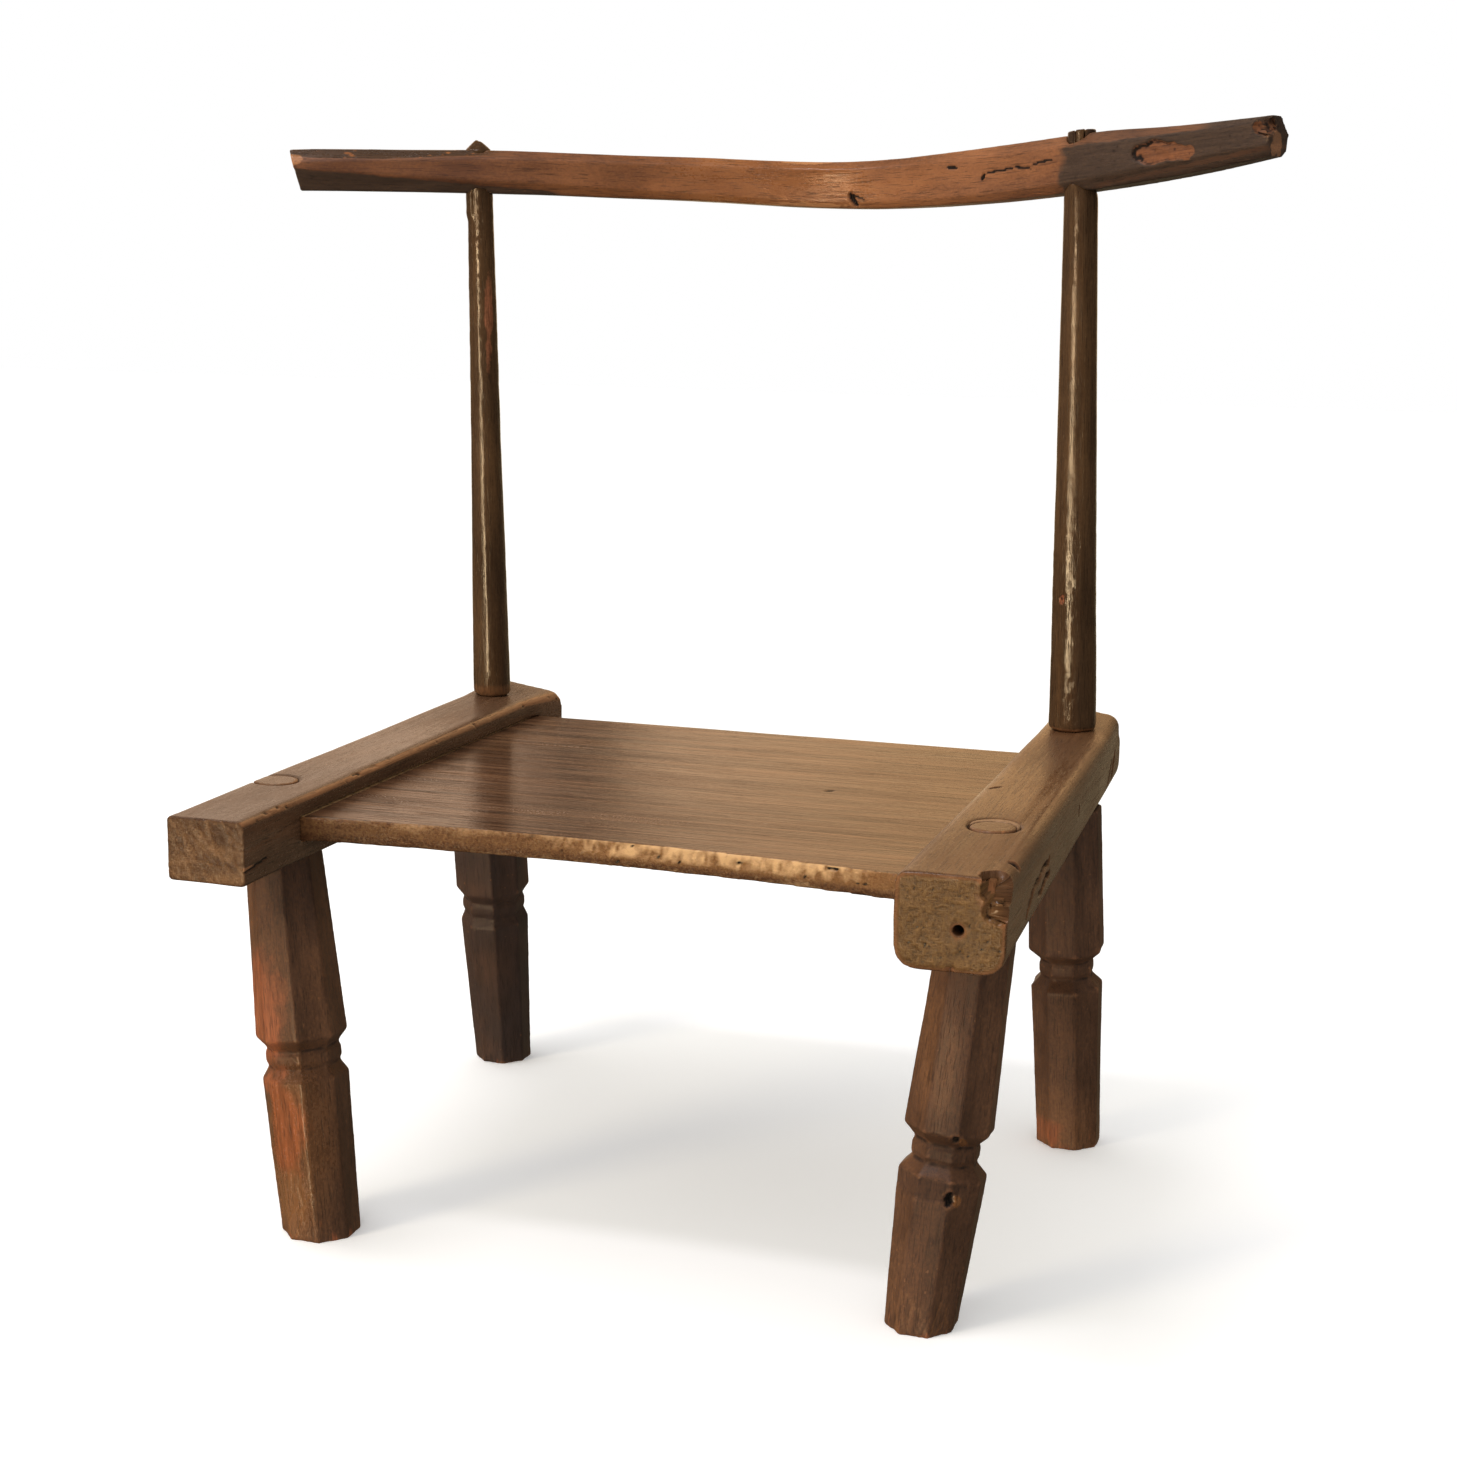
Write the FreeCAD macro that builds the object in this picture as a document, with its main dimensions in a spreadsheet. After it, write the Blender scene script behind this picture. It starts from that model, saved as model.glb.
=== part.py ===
import FreeCAD, Part
import math
import os
import Sketcher

# A low carved wooden chair. Two side rails lie front to back and carry everything: a seat board
# let into their inner faces, four notched legs socketed into their undersides, and two back posts
# that pass through a bowed crest rail.
#
# Frame: millimetres, +Z up, +Y towards the back, +X to the sitter's left (the viewer's right when
# the chair is seen from the front). The origin is on the floor, under the middle of the chair.

FACETS = 8
ROUND_CHORDS = 3        # straight chords that round each corner of a rail's section
BOW_CHORDS = 8          # straight chords along the seat board's hollowed front edge
STEPS_BETWEEN = 2       # crest sections laid in each stretch between two stations
OVERLAP = 20.0          # how far a blank runs into the piece that it meets before it is trimmed
TOOL_SPAN = 800.0       # length and width of the blocks that trim legs and tenons
TOOL_HEIGHT = 200.0
FRONT_TENON = 120.0     # rod length that surely reaches through a rail

# Driving dimensions, one group for each piece. A cell's alias is its group and its own name.
# A rail has three sections. Each gives its place front to back, its two sides, the heights of its
# two upper corners and how they are rounded; the underside runs straight from front to rear.
DIMENSIONS = {
    "left_rail_front": {
        "y": -267.5, "left": -249.2, "right": -196.6, "top_left": 297.3, "top_right": 297.3,
        "round_left": 3.0, "round_right": 5.0, "bottom": 257.0,
    },
    "left_rail_post": {
        "y": 165.0, "left": -249.6, "right": -195.0, "top_left": 298.4, "top_right": 297.6,
        "round_left": 3.0, "round_right": 7.0,
    },
    "left_rail_rear": {
        "y": 222.5, "left": -247.0, "right": -187.3, "top_left": 303.5, "top_right": 297.2,
        "round_left": 6.0, "round_right": 12.0, "bottom": 251.9,
    },
    "right_rail_front": {
        "y": -263.1, "left": 200.0, "right": 262.7, "top_left": 304.3, "top_right": 304.3,
        "round_left": 6.0, "round_right": 16.5, "bottom": 248.8,
    },
    "right_rail_post": {
        "y": 165.0, "left": 203.0, "right": 257.8, "top_left": 304.2, "top_right": 304.8,
        "round_left": 6.0, "round_right": 17.0,
    },
    "right_rail_rear": {
        "y": 226.5, "left": 204.0, "right": 257.0, "top_left": 306.0, "top_right": 310.5,
        "round_left": 6.0, "round_right": 20.0, "bottom": 258.2,
    },
    "left_rail": {"round_low": 3.0},
    "right_rail": {"round_low": 12.0},
    "seat": {
        "front_left_y": -197.5, "front_right_y": -204.6, "rear_y": 188.0, "hollow": 14.5,
        "top": 283.8, "tilt": -0.37, "thickness": 15.5, "tongue": 9.0,
    },
    "leg": {
        "tenon_radius": 14.0, "tenon_start": 230.0, "rear_tenon": 30.0, "block_gap": 14.0,
        "groove_gap": 6.0, "ring_half": 3.0, "shoulder": 262.0,
    },
    "front_left_leg": {
        "foot_x": -201.8, "foot_y": -170.5, "top_x": -235.6, "top_y": -156.6, "top_height": 297.3,
        "collar": 119.0, "shoulder_radius": 24.6, "belly_radius": 29.9, "neck_radius": 23.2,
        "ring_radius": 24.8, "knee_radius": 28.3, "foot_radius": 25.1,
    },
    "front_right_leg": {
        "foot_x": 204.4, "foot_y": -176.2, "top_x": 231.6, "top_y": -144.5, "top_height": 304.3,
        "collar": 110.0, "shoulder_radius": 23.6, "belly_radius": 28.0, "neck_radius": 20.0,
        "ring_radius": 21.6, "knee_radius": 27.6, "foot_radius": 21.8,
    },
    "rear_left_leg": {
        "foot_x": -223.4, "foot_y": 184.6, "top_x": -219.6, "top_y": 135.1, "top_height": 297.3,
        "collar": 138.0, "shoulder_radius": 28.2, "belly_radius": 28.7, "neck_radius": 23.0,
        "ring_radius": 24.4, "knee_radius": 26.4, "foot_radius": 21.2,
    },
    "rear_right_leg": {
        "foot_x": 241.9, "foot_y": 153.7, "top_x": 229.1, "top_y": 134.4, "top_height": 304.3,
        "collar": 137.0, "shoulder_radius": 26.8, "belly_radius": 28.0, "neck_radius": 19.0,
        "ring_radius": 20.4, "knee_radius": 26.6, "foot_radius": 23.2,
    },
    "left_post": {
        "base_x": -229.8, "base_y": 179.6, "base_height": 299.0, "top_x": -235.6, "top_y": 174.5,
        "top_height": 681.4, "base_radius": 15.6, "middle_radius": 12.3, "top_radius": 10.1,
        "tenon_radius": 9.2, "socket_depth": 26.0, "crest_tenon": 31.5, "tip_height": 7.0,
        "tip_radius": 1.5,
    },
    "right_post": {
        "base_x": 227.8, "base_y": 176.8, "base_height": 304.0, "top_x": 216.9, "top_y": 178.0,
        "top_height": 682.4, "base_radius": 18.4, "middle_radius": 15.3, "top_radius": 12.6,
        "tenon_radius": 9.8, "socket_depth": 26.0, "crest_tenon": 50.0, "tip_cut": 44.0,
        "tip_slant": -6.0,
    },
    "wedge": {"head": 7.0, "toe": 2.5, "length": 34.0},
    "shim": {"shift": 5.0, "radius": 15.0, "depth": 20.0},
    "nail_hole": {"radius": 2.9, "depth": 18.0, "x": 236.0, "height": 273.0},
    "crest": {"middle_x": 29.0, "middle_y": 238.5, "middle_z": 675.0, "low_bevel": 4.0},
}

# The crest rail's stations, from the left end to the right. Each one gives its front lower corner
# from the middle of the rail, the way the rail heads there in plan, how far its plane leans, and
# the section: height, depth, and the height and depth of the bevels above and below the face.
STATION_SIZES = (
    "along", "back", "up", "turn", "lean", "height", "depth",
    "upper_rise", "upper_run", "lower_rise", "lower_run", "back_bevel",
)
STATIONS = {
    "left_tip": (-379.0, -134.0, 5.5, 24.4, -13.0, 30.0, 24.0, 10.0, 8.0, 15.0, 11.0, 4.0),
    "left_post": (-259.0, -78.0, 6.5, 24.0, 0.0, 31.5, 30.0, 7.0, 7.0, 9.0, 8.0, 4.0),
    "left_quarter": (-125.0, -22.0, 4.7, 17.0, 0.0, 31.5, 29.0, 6.0, 6.0, 5.0, 4.0, 4.0),
    "middle": (0.0, 0.0, 0.0, -2.0, 0.0, 34.0, 28.0, 6.0, 6.0, 4.0, 3.0, 4.0),
    "right_quarter": (100.0, -28.0, 3.0, -22.0, 0.0, 37.8, 29.0, 6.0, 6.0, 5.0, 4.0, 4.0),
    "right_post": (188.0, -75.0, 10.0, -28.0, 0.0, 39.0, 31.0, 8.0, 8.0, 7.0, 6.0, 5.0),
    "right_shoulder": (262.0, -113.0, 19.5, -27.7, 0.0, 32.0, 28.0, 6.0, 6.0, 9.0, 7.0, 6.0),
    "right_tip": (319.0, -143.5, 29.5, -28.0, 5.0, 25.5, 24.0, 2.5, 3.0, 7.0, 7.0, 11.0),
}

doc = FreeCAD.newDocument("carved_chair")
sheet = doc.addObject("Spreadsheet::Sheet", "Dimensions")


def fill_sheet():
    """Put every driving dimension in its own cell, under an alias made of words."""
    groups = dict(DIMENSIONS)
    for name, sizes in STATIONS.items():
        groups["station_" + name] = dict(zip(STATION_SIZES, sizes))
    row = 1
    for group, sizes in groups.items():
        for name, value in sizes.items():
            sheet.set(f"A{row}", f"{group} {name}".replace("_", " "))
            sheet.set(f"B{row}", str(value))
            sheet.setAlias(f"B{row}", f"{group}_{name}")
            row += 1
    doc.recompute()


def size(alias):
    """Read one driving dimension."""
    return float(sheet.get(alias))


def cell(alias):
    """Name one driving dimension inside an expression."""
    return f"Dimensions.{alias}"


def bind(item, prop, expression):
    item.setExpression(prop, expression)


def place(item, x, y, z):
    """Bind an object's position to three expressions."""
    for axis, expression in zip("xyz", (x, y, z)):
        bind(item, f"Placement.Base.{axis}", expression)


def origin_plane(body, role):
    return next(f for f in body.Origin.OriginFeatures if f.Role == role)


def turn_about(axis, angle):
    """An expression for a turn of angle degrees about an axis."""
    return f"create(<<rotation>>; create(<<vector>>; {axis}); {angle})"


def outline(body, name, role, corners):
    """Draw a closed polygon on one of the body's origin planes, each corner bound to expressions."""
    sketch = body.newObject("Sketcher::SketchObject", name)
    sketch.AttachmentSupport = [(origin_plane(body, role), "")]
    sketch.MapMode = "FlatFace"
    count = len(corners)
    around = [FreeCAD.Vector(math.cos(2 * math.pi * i / count), math.sin(2 * math.pi * i / count), 0)
              for i in range(count)]
    for i in range(count):
        sketch.addGeometry(Part.LineSegment(around[i], around[(i + 1) % count]), False)
    for i in range(count):
        sketch.addConstraint(Sketcher.Constraint("Coincident", i, 2, (i + 1) % count, 1))
    for i, (across, up) in enumerate(corners):
        for kind, expression in (("DistanceX", across), ("DistanceY", up)):
            axis = kind[-1].lower()
            start = getattr(around[i], axis)
            index = sketch.addConstraint(Sketcher.Constraint(kind, -1, 1, i, 1, start))
            sketch.renameConstraint(index, f"corner_{axis}_{i}")
            bind(sketch, f"Constraints.corner_{axis}_{i}", expression)
    return sketch


def loft(body, name, sections, ruled=True):
    """Join a body's section sketches into one solid."""
    solid = body.newObject("PartDesign::AdditiveLoft", name)
    solid.Profile = sections[0]
    solid.Sections = sections[1:]
    solid.Ruled = ruled
    return solid


def boolean(kind, name, base, tool):
    made = doc.addObject(kind, name)
    made.Base = base
    made.Tool = tool
    return made


def cut(name, base, tool):
    return boolean("Part::Cut", name, base, tool)


def common(name, base, tool):
    return boolean("Part::Common", name, base, tool)


def fuse(name, pieces):
    made = doc.addObject("Part::MultiFuse", name)
    made.Shapes = pieces
    return made


def cylinder(name, radius, height):
    made = doc.addObject("Part::Cylinder", name)
    bind(made, "Radius", radius)
    bind(made, "Height", height)
    return made


def box(name, length, width, height):
    made = doc.addObject("Part::Box", name)
    bind(made, "Length", length)
    bind(made, "Width", width)
    bind(made, "Height", height)
    return made


# ---- Side rails ---------------------------------------------------------------------------------

def rail_bottom(rail, station):
    """The underside's height at a station, on the straight line between the two ends."""
    front, rear = f"{rail}_front", f"{rail}_rear"
    share = (f"({cell(f'{rail}_{station}_y')} - {cell(f'{front}_y')})"
             f" / ({cell(f'{rear}_y')} - {cell(f'{front}_y')})")
    rise = f"({cell(f'{rear}_bottom')} - {cell(f'{front}_bottom')})"
    return f"{cell(f'{front}_bottom')} + {share} * {rise}"


def rounded_section(rail, station):
    """Corner expressions of a rail's section, its four corners rounded by short chords."""
    here = f"{rail}_{station}"
    left, right = cell(f"{here}_left"), cell(f"{here}_right")
    bottom, low = f"({rail_bottom(rail, station)})", cell(f"{rail}_round_low")
    round_left, round_right = cell(f"{here}_round_left"), cell(f"{here}_round_right")
    arcs = (
        (f"{right} - {round_right}", f"{cell(f'{here}_top_right')} - {round_right}", round_right),
        (f"{left} + {round_left}", f"{cell(f'{here}_top_left')} - {round_left}", round_left),
        (f"{left} + {low}", f"{bottom} + {low}", low),
        (f"{right} - {low}", f"{bottom} + {low}", low),
    )
    corners = []
    for quarter, (across, up, radius) in enumerate(arcs):
        for k in range(ROUND_CHORDS + 1):
            angle = 90.0 * (quarter + k / ROUND_CHORDS)
            corners.append((f"{across} + {radius} * cos({angle} deg)",
                            f"{up} + {radius} * sin({angle} deg)"))
    return corners


def rail_blank(side):
    """A side rail before its sockets are cut: a long bar whose rear end swells behind the post."""
    rail = f"{side}_rail"
    body = doc.addObject("PartDesign::Body", f"{rail}_blank")
    sections = []
    for station in ("front", "post", "rear"):
        corners = rounded_section(rail, station)
        sections.append(outline(body, f"{rail}_{station}_section", "XZ_Plane", corners))
        bind(sections[-1], "AttachmentOffset.Base.z", f"-{cell(f'{rail}_{station}_y')}")
    loft(body, f"{rail}_bar", sections)
    return body


def under_rail_tool(side):
    """A block whose lower face lies in the plane of a rail's underside, to trim leg shoulders."""
    front, rear = f"{side}_rail_front", f"{side}_rail_rear"
    tool = box(f"under_{side}_rail_tool", f"{TOOL_SPAN}", f"{TOOL_SPAN}", f"{TOOL_HEIGHT}")
    rise = (f"atan(({cell(f'{rear}_bottom')} - {cell(f'{front}_bottom')})"
            f" / ({cell(f'{rear}_y')} - {cell(f'{front}_y')}))")
    tool.Placement.Rotation = FreeCAD.Rotation(FreeCAD.Vector(1, 0, 0), 1.0)
    bind(tool, "Placement.Rotation.Angle", rise)
    place(tool, f"-{TOOL_SPAN} / 2", cell(f"{front}_y"), cell(f"{front}_bottom"))
    return tool


def nail_hole():
    """The tool for the blind nail hole in the right rail's front end."""
    hole = cylinder("nail_hole_tool", cell("nail_hole_radius"), cell("nail_hole_depth"))
    hole.Placement.Rotation = FreeCAD.Rotation(FreeCAD.Vector(1, 0, 0), -90)
    place(hole, cell("nail_hole_x"), cell("right_rail_front_y"), cell("nail_hole_height"))
    return hole


# ---- Seat board ---------------------------------------------------------------------------------

def seat_board():
    """The seat board: hollowed in front, its two ends let into the rails' inner faces."""
    body = doc.addObject("PartDesign::Body", "seat_board")
    body.Placement.Rotation = FreeCAD.Rotation(FreeCAD.Vector(1, 0, 0), size("seat_tilt"))
    place(body, "0", "0", f"{cell('seat_top')} - {cell('seat_thickness')}")
    left, right = {}, {}
    for station in ("front", "post"):
        left[station] = f"{cell(f'left_rail_{station}_right')} - {cell('seat_tongue')}"
        right[station] = f"{cell(f'right_rail_{station}_left')} + {cell('seat_tongue')}"
    corners = [(right["post"], cell("seat_rear_y")), (left["post"], cell("seat_rear_y"))]
    for i in range(BOW_CHORDS + 1):
        t = i / BOW_CHORDS
        across = f"({left['front']}) * {1 - t} + ({right['front']}) * {t}"
        back = (f"{cell('seat_front_left_y')} * {1 - t} + {cell('seat_front_right_y')} * {t}"
                f" + {cell('seat_hollow')} * {4 * t * (1 - t)}")
        corners.append((across, back))
    plan = outline(body, "seat_plan", "XY_Plane", corners)
    plank = body.newObject("PartDesign::Pad", "seat_plank")
    plank.Profile = plan
    bind(plank, "Length", cell("seat_thickness"))
    return body


# ---- Legs ---------------------------------------------------------------------------------------

def octagon(radius):
    """Corner expressions of a regular octagon with one flat facet facing forwards."""
    step = 360.0 / FACETS
    return [(f"{radius} * cos({(i + 0.5) * step} deg)", f"{radius} * sin({(i + 0.5) * step} deg)")
            for i in range(FACETS)]


def lean(foot, top):
    """The turn that takes +Z to the line from a leg's or post's lower end to its upper end."""
    return FreeCAD.Rotation(FreeCAD.Vector(0, 0, 1), top - foot)


def leg(name, blank, under_tool, floor_tool, through):
    """A leg: an octagonal baluster with a grooved collar, cut flat at the floor and at the rail."""
    foot = FreeCAD.Vector(size(f"{name}_foot_x"), size(f"{name}_foot_y"), 0)
    top = FreeCAD.Vector(size(f"{name}_top_x"), size(f"{name}_top_y"), size(f"{name}_top_height"))
    turn = lean(foot, top)
    collar = cell(f"{name}_collar")
    gap = cell("leg_block_gap")
    groove = cell("leg_groove_gap")
    ring = cell("leg_ring_half")
    levels = (
        ("foot", f"-{OVERLAP}"), ("knee", f"{collar} - {gap}"),
        ("neck", f"{collar} - {groove}"), ("ring", f"{collar} - {ring}"),
        ("ring", f"{collar} + {ring}"), ("neck", f"{collar} + {groove}"),
        ("belly", f"{collar} + {gap}"), ("shoulder", f"{cell('leg_shoulder')}"),
    )
    body = doc.addObject("PartDesign::Body", f"{name}_turned")
    body.Placement.Rotation = turn
    place(body, cell(f"{name}_foot_x"), cell(f"{name}_foot_y"), "0")
    sections = []
    for i, (part, level) in enumerate(levels):
        corners = octagon(cell(f"{name}_{part}_radius"))
        sections.append(outline(body, f"{name}_section_{i}", "XY_Plane", corners))
        bind(sections[-1], "AttachmentOffset.Base.z", level)
    loft(body, f"{name}_baluster", sections)
    level_foot = cut(f"{name}_level_foot", body, floor_tool)
    shaft = cut(f"{name}_shaft", level_foot, under_tool)

    # The tenon starts inside the shaft. A through tenon ends flush with the rail's top.
    start = size("leg_tenon_start")
    length = FRONT_TENON if through else (top - foot).Length - start - size("leg_rear_tenon") / 2
    tenon = cylinder(f"{name}_tenon_rod", cell("leg_tenon_radius"), f"{length}")
    tenon.Placement = FreeCAD.Placement(foot + turn.multVec(FreeCAD.Vector(0, 0, start)), turn)
    tenon_in_rail = common(f"{name}_tenon", tenon, blank)
    return fuse(name, [shaft, tenon_in_rail]), tenon


def tenon_shim(leg_tenon, blank):
    """The crescent of wood driven in behind the front right leg's through tenon."""
    rod = cylinder("shim_rod", cell("shim_radius"), f"{FRONT_TENON}")
    place(rod, cell("front_right_leg_top_x"), f"{cell('front_right_leg_top_y')} + {cell('shim_shift')}",
          f"{cell('right_rail_front_top_left')} - {cell('shim_depth')}")
    crescent = cut("shim_crescent", rod, leg_tenon)
    return common("right_tenon_wedge", crescent, blank)


# ---- Back posts ---------------------------------------------------------------------------------

def post(side, rail, crest):
    """A back post's shaft and its two round tenons, with the post's turn and shoulder point."""
    name = f"{side}_post"
    base = FreeCAD.Vector(*(size(f"{name}_base_{k}") for k in ("x", "y", "height")))
    top = FreeCAD.Vector(*(size(f"{name}_top_{k}") for k in ("x", "y", "height")))
    turn = lean(base, top)
    span = (top - base).Length
    body = doc.addObject("PartDesign::Body", f"{name}_taper")
    body.Placement.Rotation = turn
    place(body, *(cell(f"{name}_base_{k}") for k in ("x", "y", "height")))
    sections = []
    levels = (("base", -OVERLAP / 2), ("middle", span / 2), ("top", span + OVERLAP / 2))
    for part, level in levels:
        corners = octagon(cell(f"{name}_{part}_radius"))
        sections.append(outline(body, f"{name}_{part}_section", "XY_Plane", corners))
        bind(sections[-1], "AttachmentOffset.Base.z", f"{level}")
    loft(body, f"{name}_shaft", sections)
    clear = cut(f"{name}_clear_of_rail", body, rail)
    shaft = cut(f"{name}_between", clear, crest)

    radius, depth = cell(f"{name}_tenon_radius"), size(f"{name}_socket_depth")
    foot_rod = cylinder(f"{name}_foot_tenon", radius, f"{depth + OVERLAP}")
    foot_rod.Placement = FreeCAD.Placement(
        base + turn.multVec(FreeCAD.Vector(0, 0, -depth)), turn)
    head_rod = cylinder(f"{name}_head_tenon", radius, f"{cell(f'{name}_crest_tenon')} + {OVERLAP}")
    head_rod.Placement = FreeCAD.Placement(
        base + turn.multVec(FreeCAD.Vector(0, 0, span - OVERLAP)), turn)
    return turn, top, shaft, foot_rod, head_rod


def pointed_tip(turn, top):
    """The low cone that ends the left post above the crest rail."""
    cone = doc.addObject("Part::Cone", "left_post_tip")
    bind(cone, "Radius1", cell("left_post_tenon_radius"))
    bind(cone, "Radius2", cell("left_post_tip_radius"))
    bind(cone, "Height", cell("left_post_tip_height"))
    cone.Placement = FreeCAD.Placement(
        top + turn.multVec(FreeCAD.Vector(0, 0, size("left_post_crest_tenon"))), turn)
    return cone


def slant_tool(turn, top):
    """A block that cuts the right post's upper end to a slant, higher on its outer side."""
    tool = box("slant_tool", f"{TOOL_SPAN}", f"{TOOL_SPAN}", f"{TOOL_HEIGHT}")
    slant = FreeCAD.Rotation(FreeCAD.Vector(0, 1, 0), size("right_post_tip_slant"))
    corner = slant.multVec(FreeCAD.Vector(-TOOL_SPAN / 2, -TOOL_SPAN / 2, 0))
    end = top + turn.multVec(FreeCAD.Vector(0, 0, size("right_post_tip_cut")))
    tool.Placement = FreeCAD.Placement(end + corner, slant)
    return tool


def tenon_wedge(turn, top):
    """The tapered wedge that spreads the right post's upper tenon in the crest rail."""
    body = doc.addObject("PartDesign::Body", "wedge_blank")
    body.Placement = FreeCAD.Placement(
        top + turn.multVec(FreeCAD.Vector(0, 0, size("right_post_crest_tenon"))), turn)
    half_head, half_toe = f"{cell('wedge_head')} / 2", f"{cell('wedge_toe')} / 2"
    corners = [(f"-{half_toe}", f"-{cell('wedge_length')}"), (half_toe, f"-{cell('wedge_length')}"),
               (half_head, "0"), (f"-{half_head}", "0")]
    profile = outline(body, "wedge_profile", "XZ_Plane", corners)
    prism = body.newObject("PartDesign::Pad", "wedge_prism")
    prism.Profile = profile
    prism.Midplane = True
    bind(prism, "Length", f"4 * {cell('right_post_tenon_radius')}")
    return body


# ---- Crest rail ---------------------------------------------------------------------------------

def between(key, index, t):
    """Blend one station value smoothly from station index to the next, t running from 0 to 1."""
    names = list(STATIONS)
    picks = [names[max(0, min(len(names) - 1, index + k))] for k in (-1, 0, 1, 2)]
    weights = (-t / 2 + t**2 - t**3 / 2, 1 - 2.5 * t**2 + 1.5 * t**3,
               t / 2 + 2 * t**2 - 1.5 * t**3, -t**2 / 2 + t**3 / 2)
    return " + ".join(f"({w:.5f}) * {cell(f'station_{n}_{key}')}" for w, n in zip(weights, picks))


def crest_section(value):
    """Corners of the crest's bevelled section, from the lower bevel round to the face."""
    low_bevel = cell("crest_low_bevel")
    return [
        (value["lower_run"], "0"),
        (f"{value['depth']} - {low_bevel}", "0"),
        (value["depth"], low_bevel),
        (value["depth"], f"{value['height']} - ({value['back_bevel']})"),
        (f"{value['depth']} - ({value['back_bevel']})", value["height"]),
        (value["upper_run"], value["height"]),
        ("0", f"{value['height']} - ({value['upper_rise']})"),
        ("0", value["lower_rise"]),
    ]


def crest_blank():
    """The bowed crest rail before its mortises: a loft through the stations."""
    body = doc.addObject("PartDesign::Body", "crest_blank")
    place(body, *(cell(f"crest_middle_{k}") for k in "xyz"))
    sections = []
    count = (len(STATIONS) - 1) * STEPS_BETWEEN
    for i in range(count + 1):
        index, step = divmod(i, STEPS_BETWEEN)
        value = {key: between(key, index, step / STEPS_BETWEEN) for key in STATION_SIZES}
        sketch = outline(body, f"crest_section_{i}", "YZ_Plane", crest_section(value))
        bind(sketch, "AttachmentOffset.Base.x", value["back"])
        bind(sketch, "AttachmentOffset.Base.y", value["up"])
        bind(sketch, "AttachmentOffset.Base.z", value["along"])
        bind(sketch, "AttachmentOffset.Rotation",
             f"{turn_about('0; 1; 0', value['turn'])} * {turn_about('1; 0; 0', value['lean'])}")
        sections.append(sketch)
    loft(body, "crest_bow", sections, ruled=False)
    return body


fill_sheet()
blanks = {side: rail_blank(side) for side in ("left", "right")}
under_tools = {side: under_rail_tool(side) for side in ("left", "right")}
floor_tool = box("floor_tool", f"{TOOL_SPAN}", f"{TOOL_SPAN}", f"{TOOL_HEIGHT}")
place(floor_tool, f"-{TOOL_SPAN} / 2", f"-{TOOL_SPAN} / 2", f"-{TOOL_HEIGHT}")
crest_bow = crest_blank()
seat = seat_board()

parts = {"seat_board": seat}
sockets = {"left": [seat], "right": [seat, nail_hole()]}
tenons = {}
for end in ("front", "rear"):
    for side in ("left", "right"):
        name = f"{end}_{side}_leg"
        parts[name], tenons[name] = leg(name, blanks[side], under_tools[side], floor_tool,
                                        end == "front")
        sockets[side].append(tenons[name])
shim = tenon_shim(tenons["front_right_leg"], blanks["right"])
parts["right_tenon_wedge"] = shim
sockets["right"].append(shim)
doc.recompute()

mortises = []
for side in ("left", "right"):
    turn, top, shaft, foot_rod, head_rod = post(side, blanks[side], crest_bow)
    sockets[side].append(foot_rod)
    mortises.append(head_rod)
    pieces = [shaft, foot_rod, head_rod]
    if side == "left":
        parts["left_back_post"] = fuse("left_back_post", pieces + [pointed_tip(turn, top)])
    else:
        slant = slant_tool(turn, top)
        wedge = cut("wedge_slanted", tenon_wedge(turn, top), slant)
        whole = cut("right_post_slanted", fuse("right_post_whole", pieces), slant)
        parts["right_back_post"] = cut("right_back_post", whole, wedge)
        parts["right_post_wedge"] = common("right_post_wedge", wedge, head_rod)
    parts[f"{side}_side_rail"] = cut(f"{side}_side_rail", blanks[side],
                                     fuse(f"{side}_sockets", sockets[side]))
parts["crest_rail"] = cut("crest_rail", crest_bow, fuse("crest_mortises", mortises))
doc.recompute()


def check_document():
    """Stop before anything is written if an object failed or a part isn't one valid solid."""
    for item in doc.Objects:
        if "Invalid" in item.State or "Error" in item.State:
            raise RuntimeError(f"{item.Name} is {item.State}")
    for name, item in parts.items():
        shape = item.Shape
        if shape.isNull() or not shape.isValid() or len(shape.Solids) != 1:
            raise RuntimeError(f"{name} has {len(shape.Solids)} solids, valid: {shape.isValid()}")


check_document()
os.makedirs("parts", exist_ok=True)
for name, item in parts.items():
    item.Label = name
    item.Shape.exportStep(f"parts/{name}.step")
    print(f"{name}: {item.Shape.Volume / 1000:.1f} cm3")
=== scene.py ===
import math

import bmesh
import bpy
import numpy as np
from mathutils import Matrix, Vector


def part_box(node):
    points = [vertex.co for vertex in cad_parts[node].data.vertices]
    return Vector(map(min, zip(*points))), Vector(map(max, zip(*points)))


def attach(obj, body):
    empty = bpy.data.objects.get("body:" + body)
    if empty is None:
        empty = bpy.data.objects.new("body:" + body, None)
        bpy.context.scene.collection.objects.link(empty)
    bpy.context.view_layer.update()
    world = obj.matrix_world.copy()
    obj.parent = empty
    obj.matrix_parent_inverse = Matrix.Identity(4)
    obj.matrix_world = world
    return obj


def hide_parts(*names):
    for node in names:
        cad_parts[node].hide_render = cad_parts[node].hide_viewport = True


# A low carved wooden chair. Every CAD solid is remeshed finely, then carved in code: hewn waves,
# tool marks, splits, chips, gouges and worn edges are geometry. The same marks are kept on each
# vertex, and the wood materials read them for colour, gloss and fine relief.
# Metres, +Z up, +Y towards the back.

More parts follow.
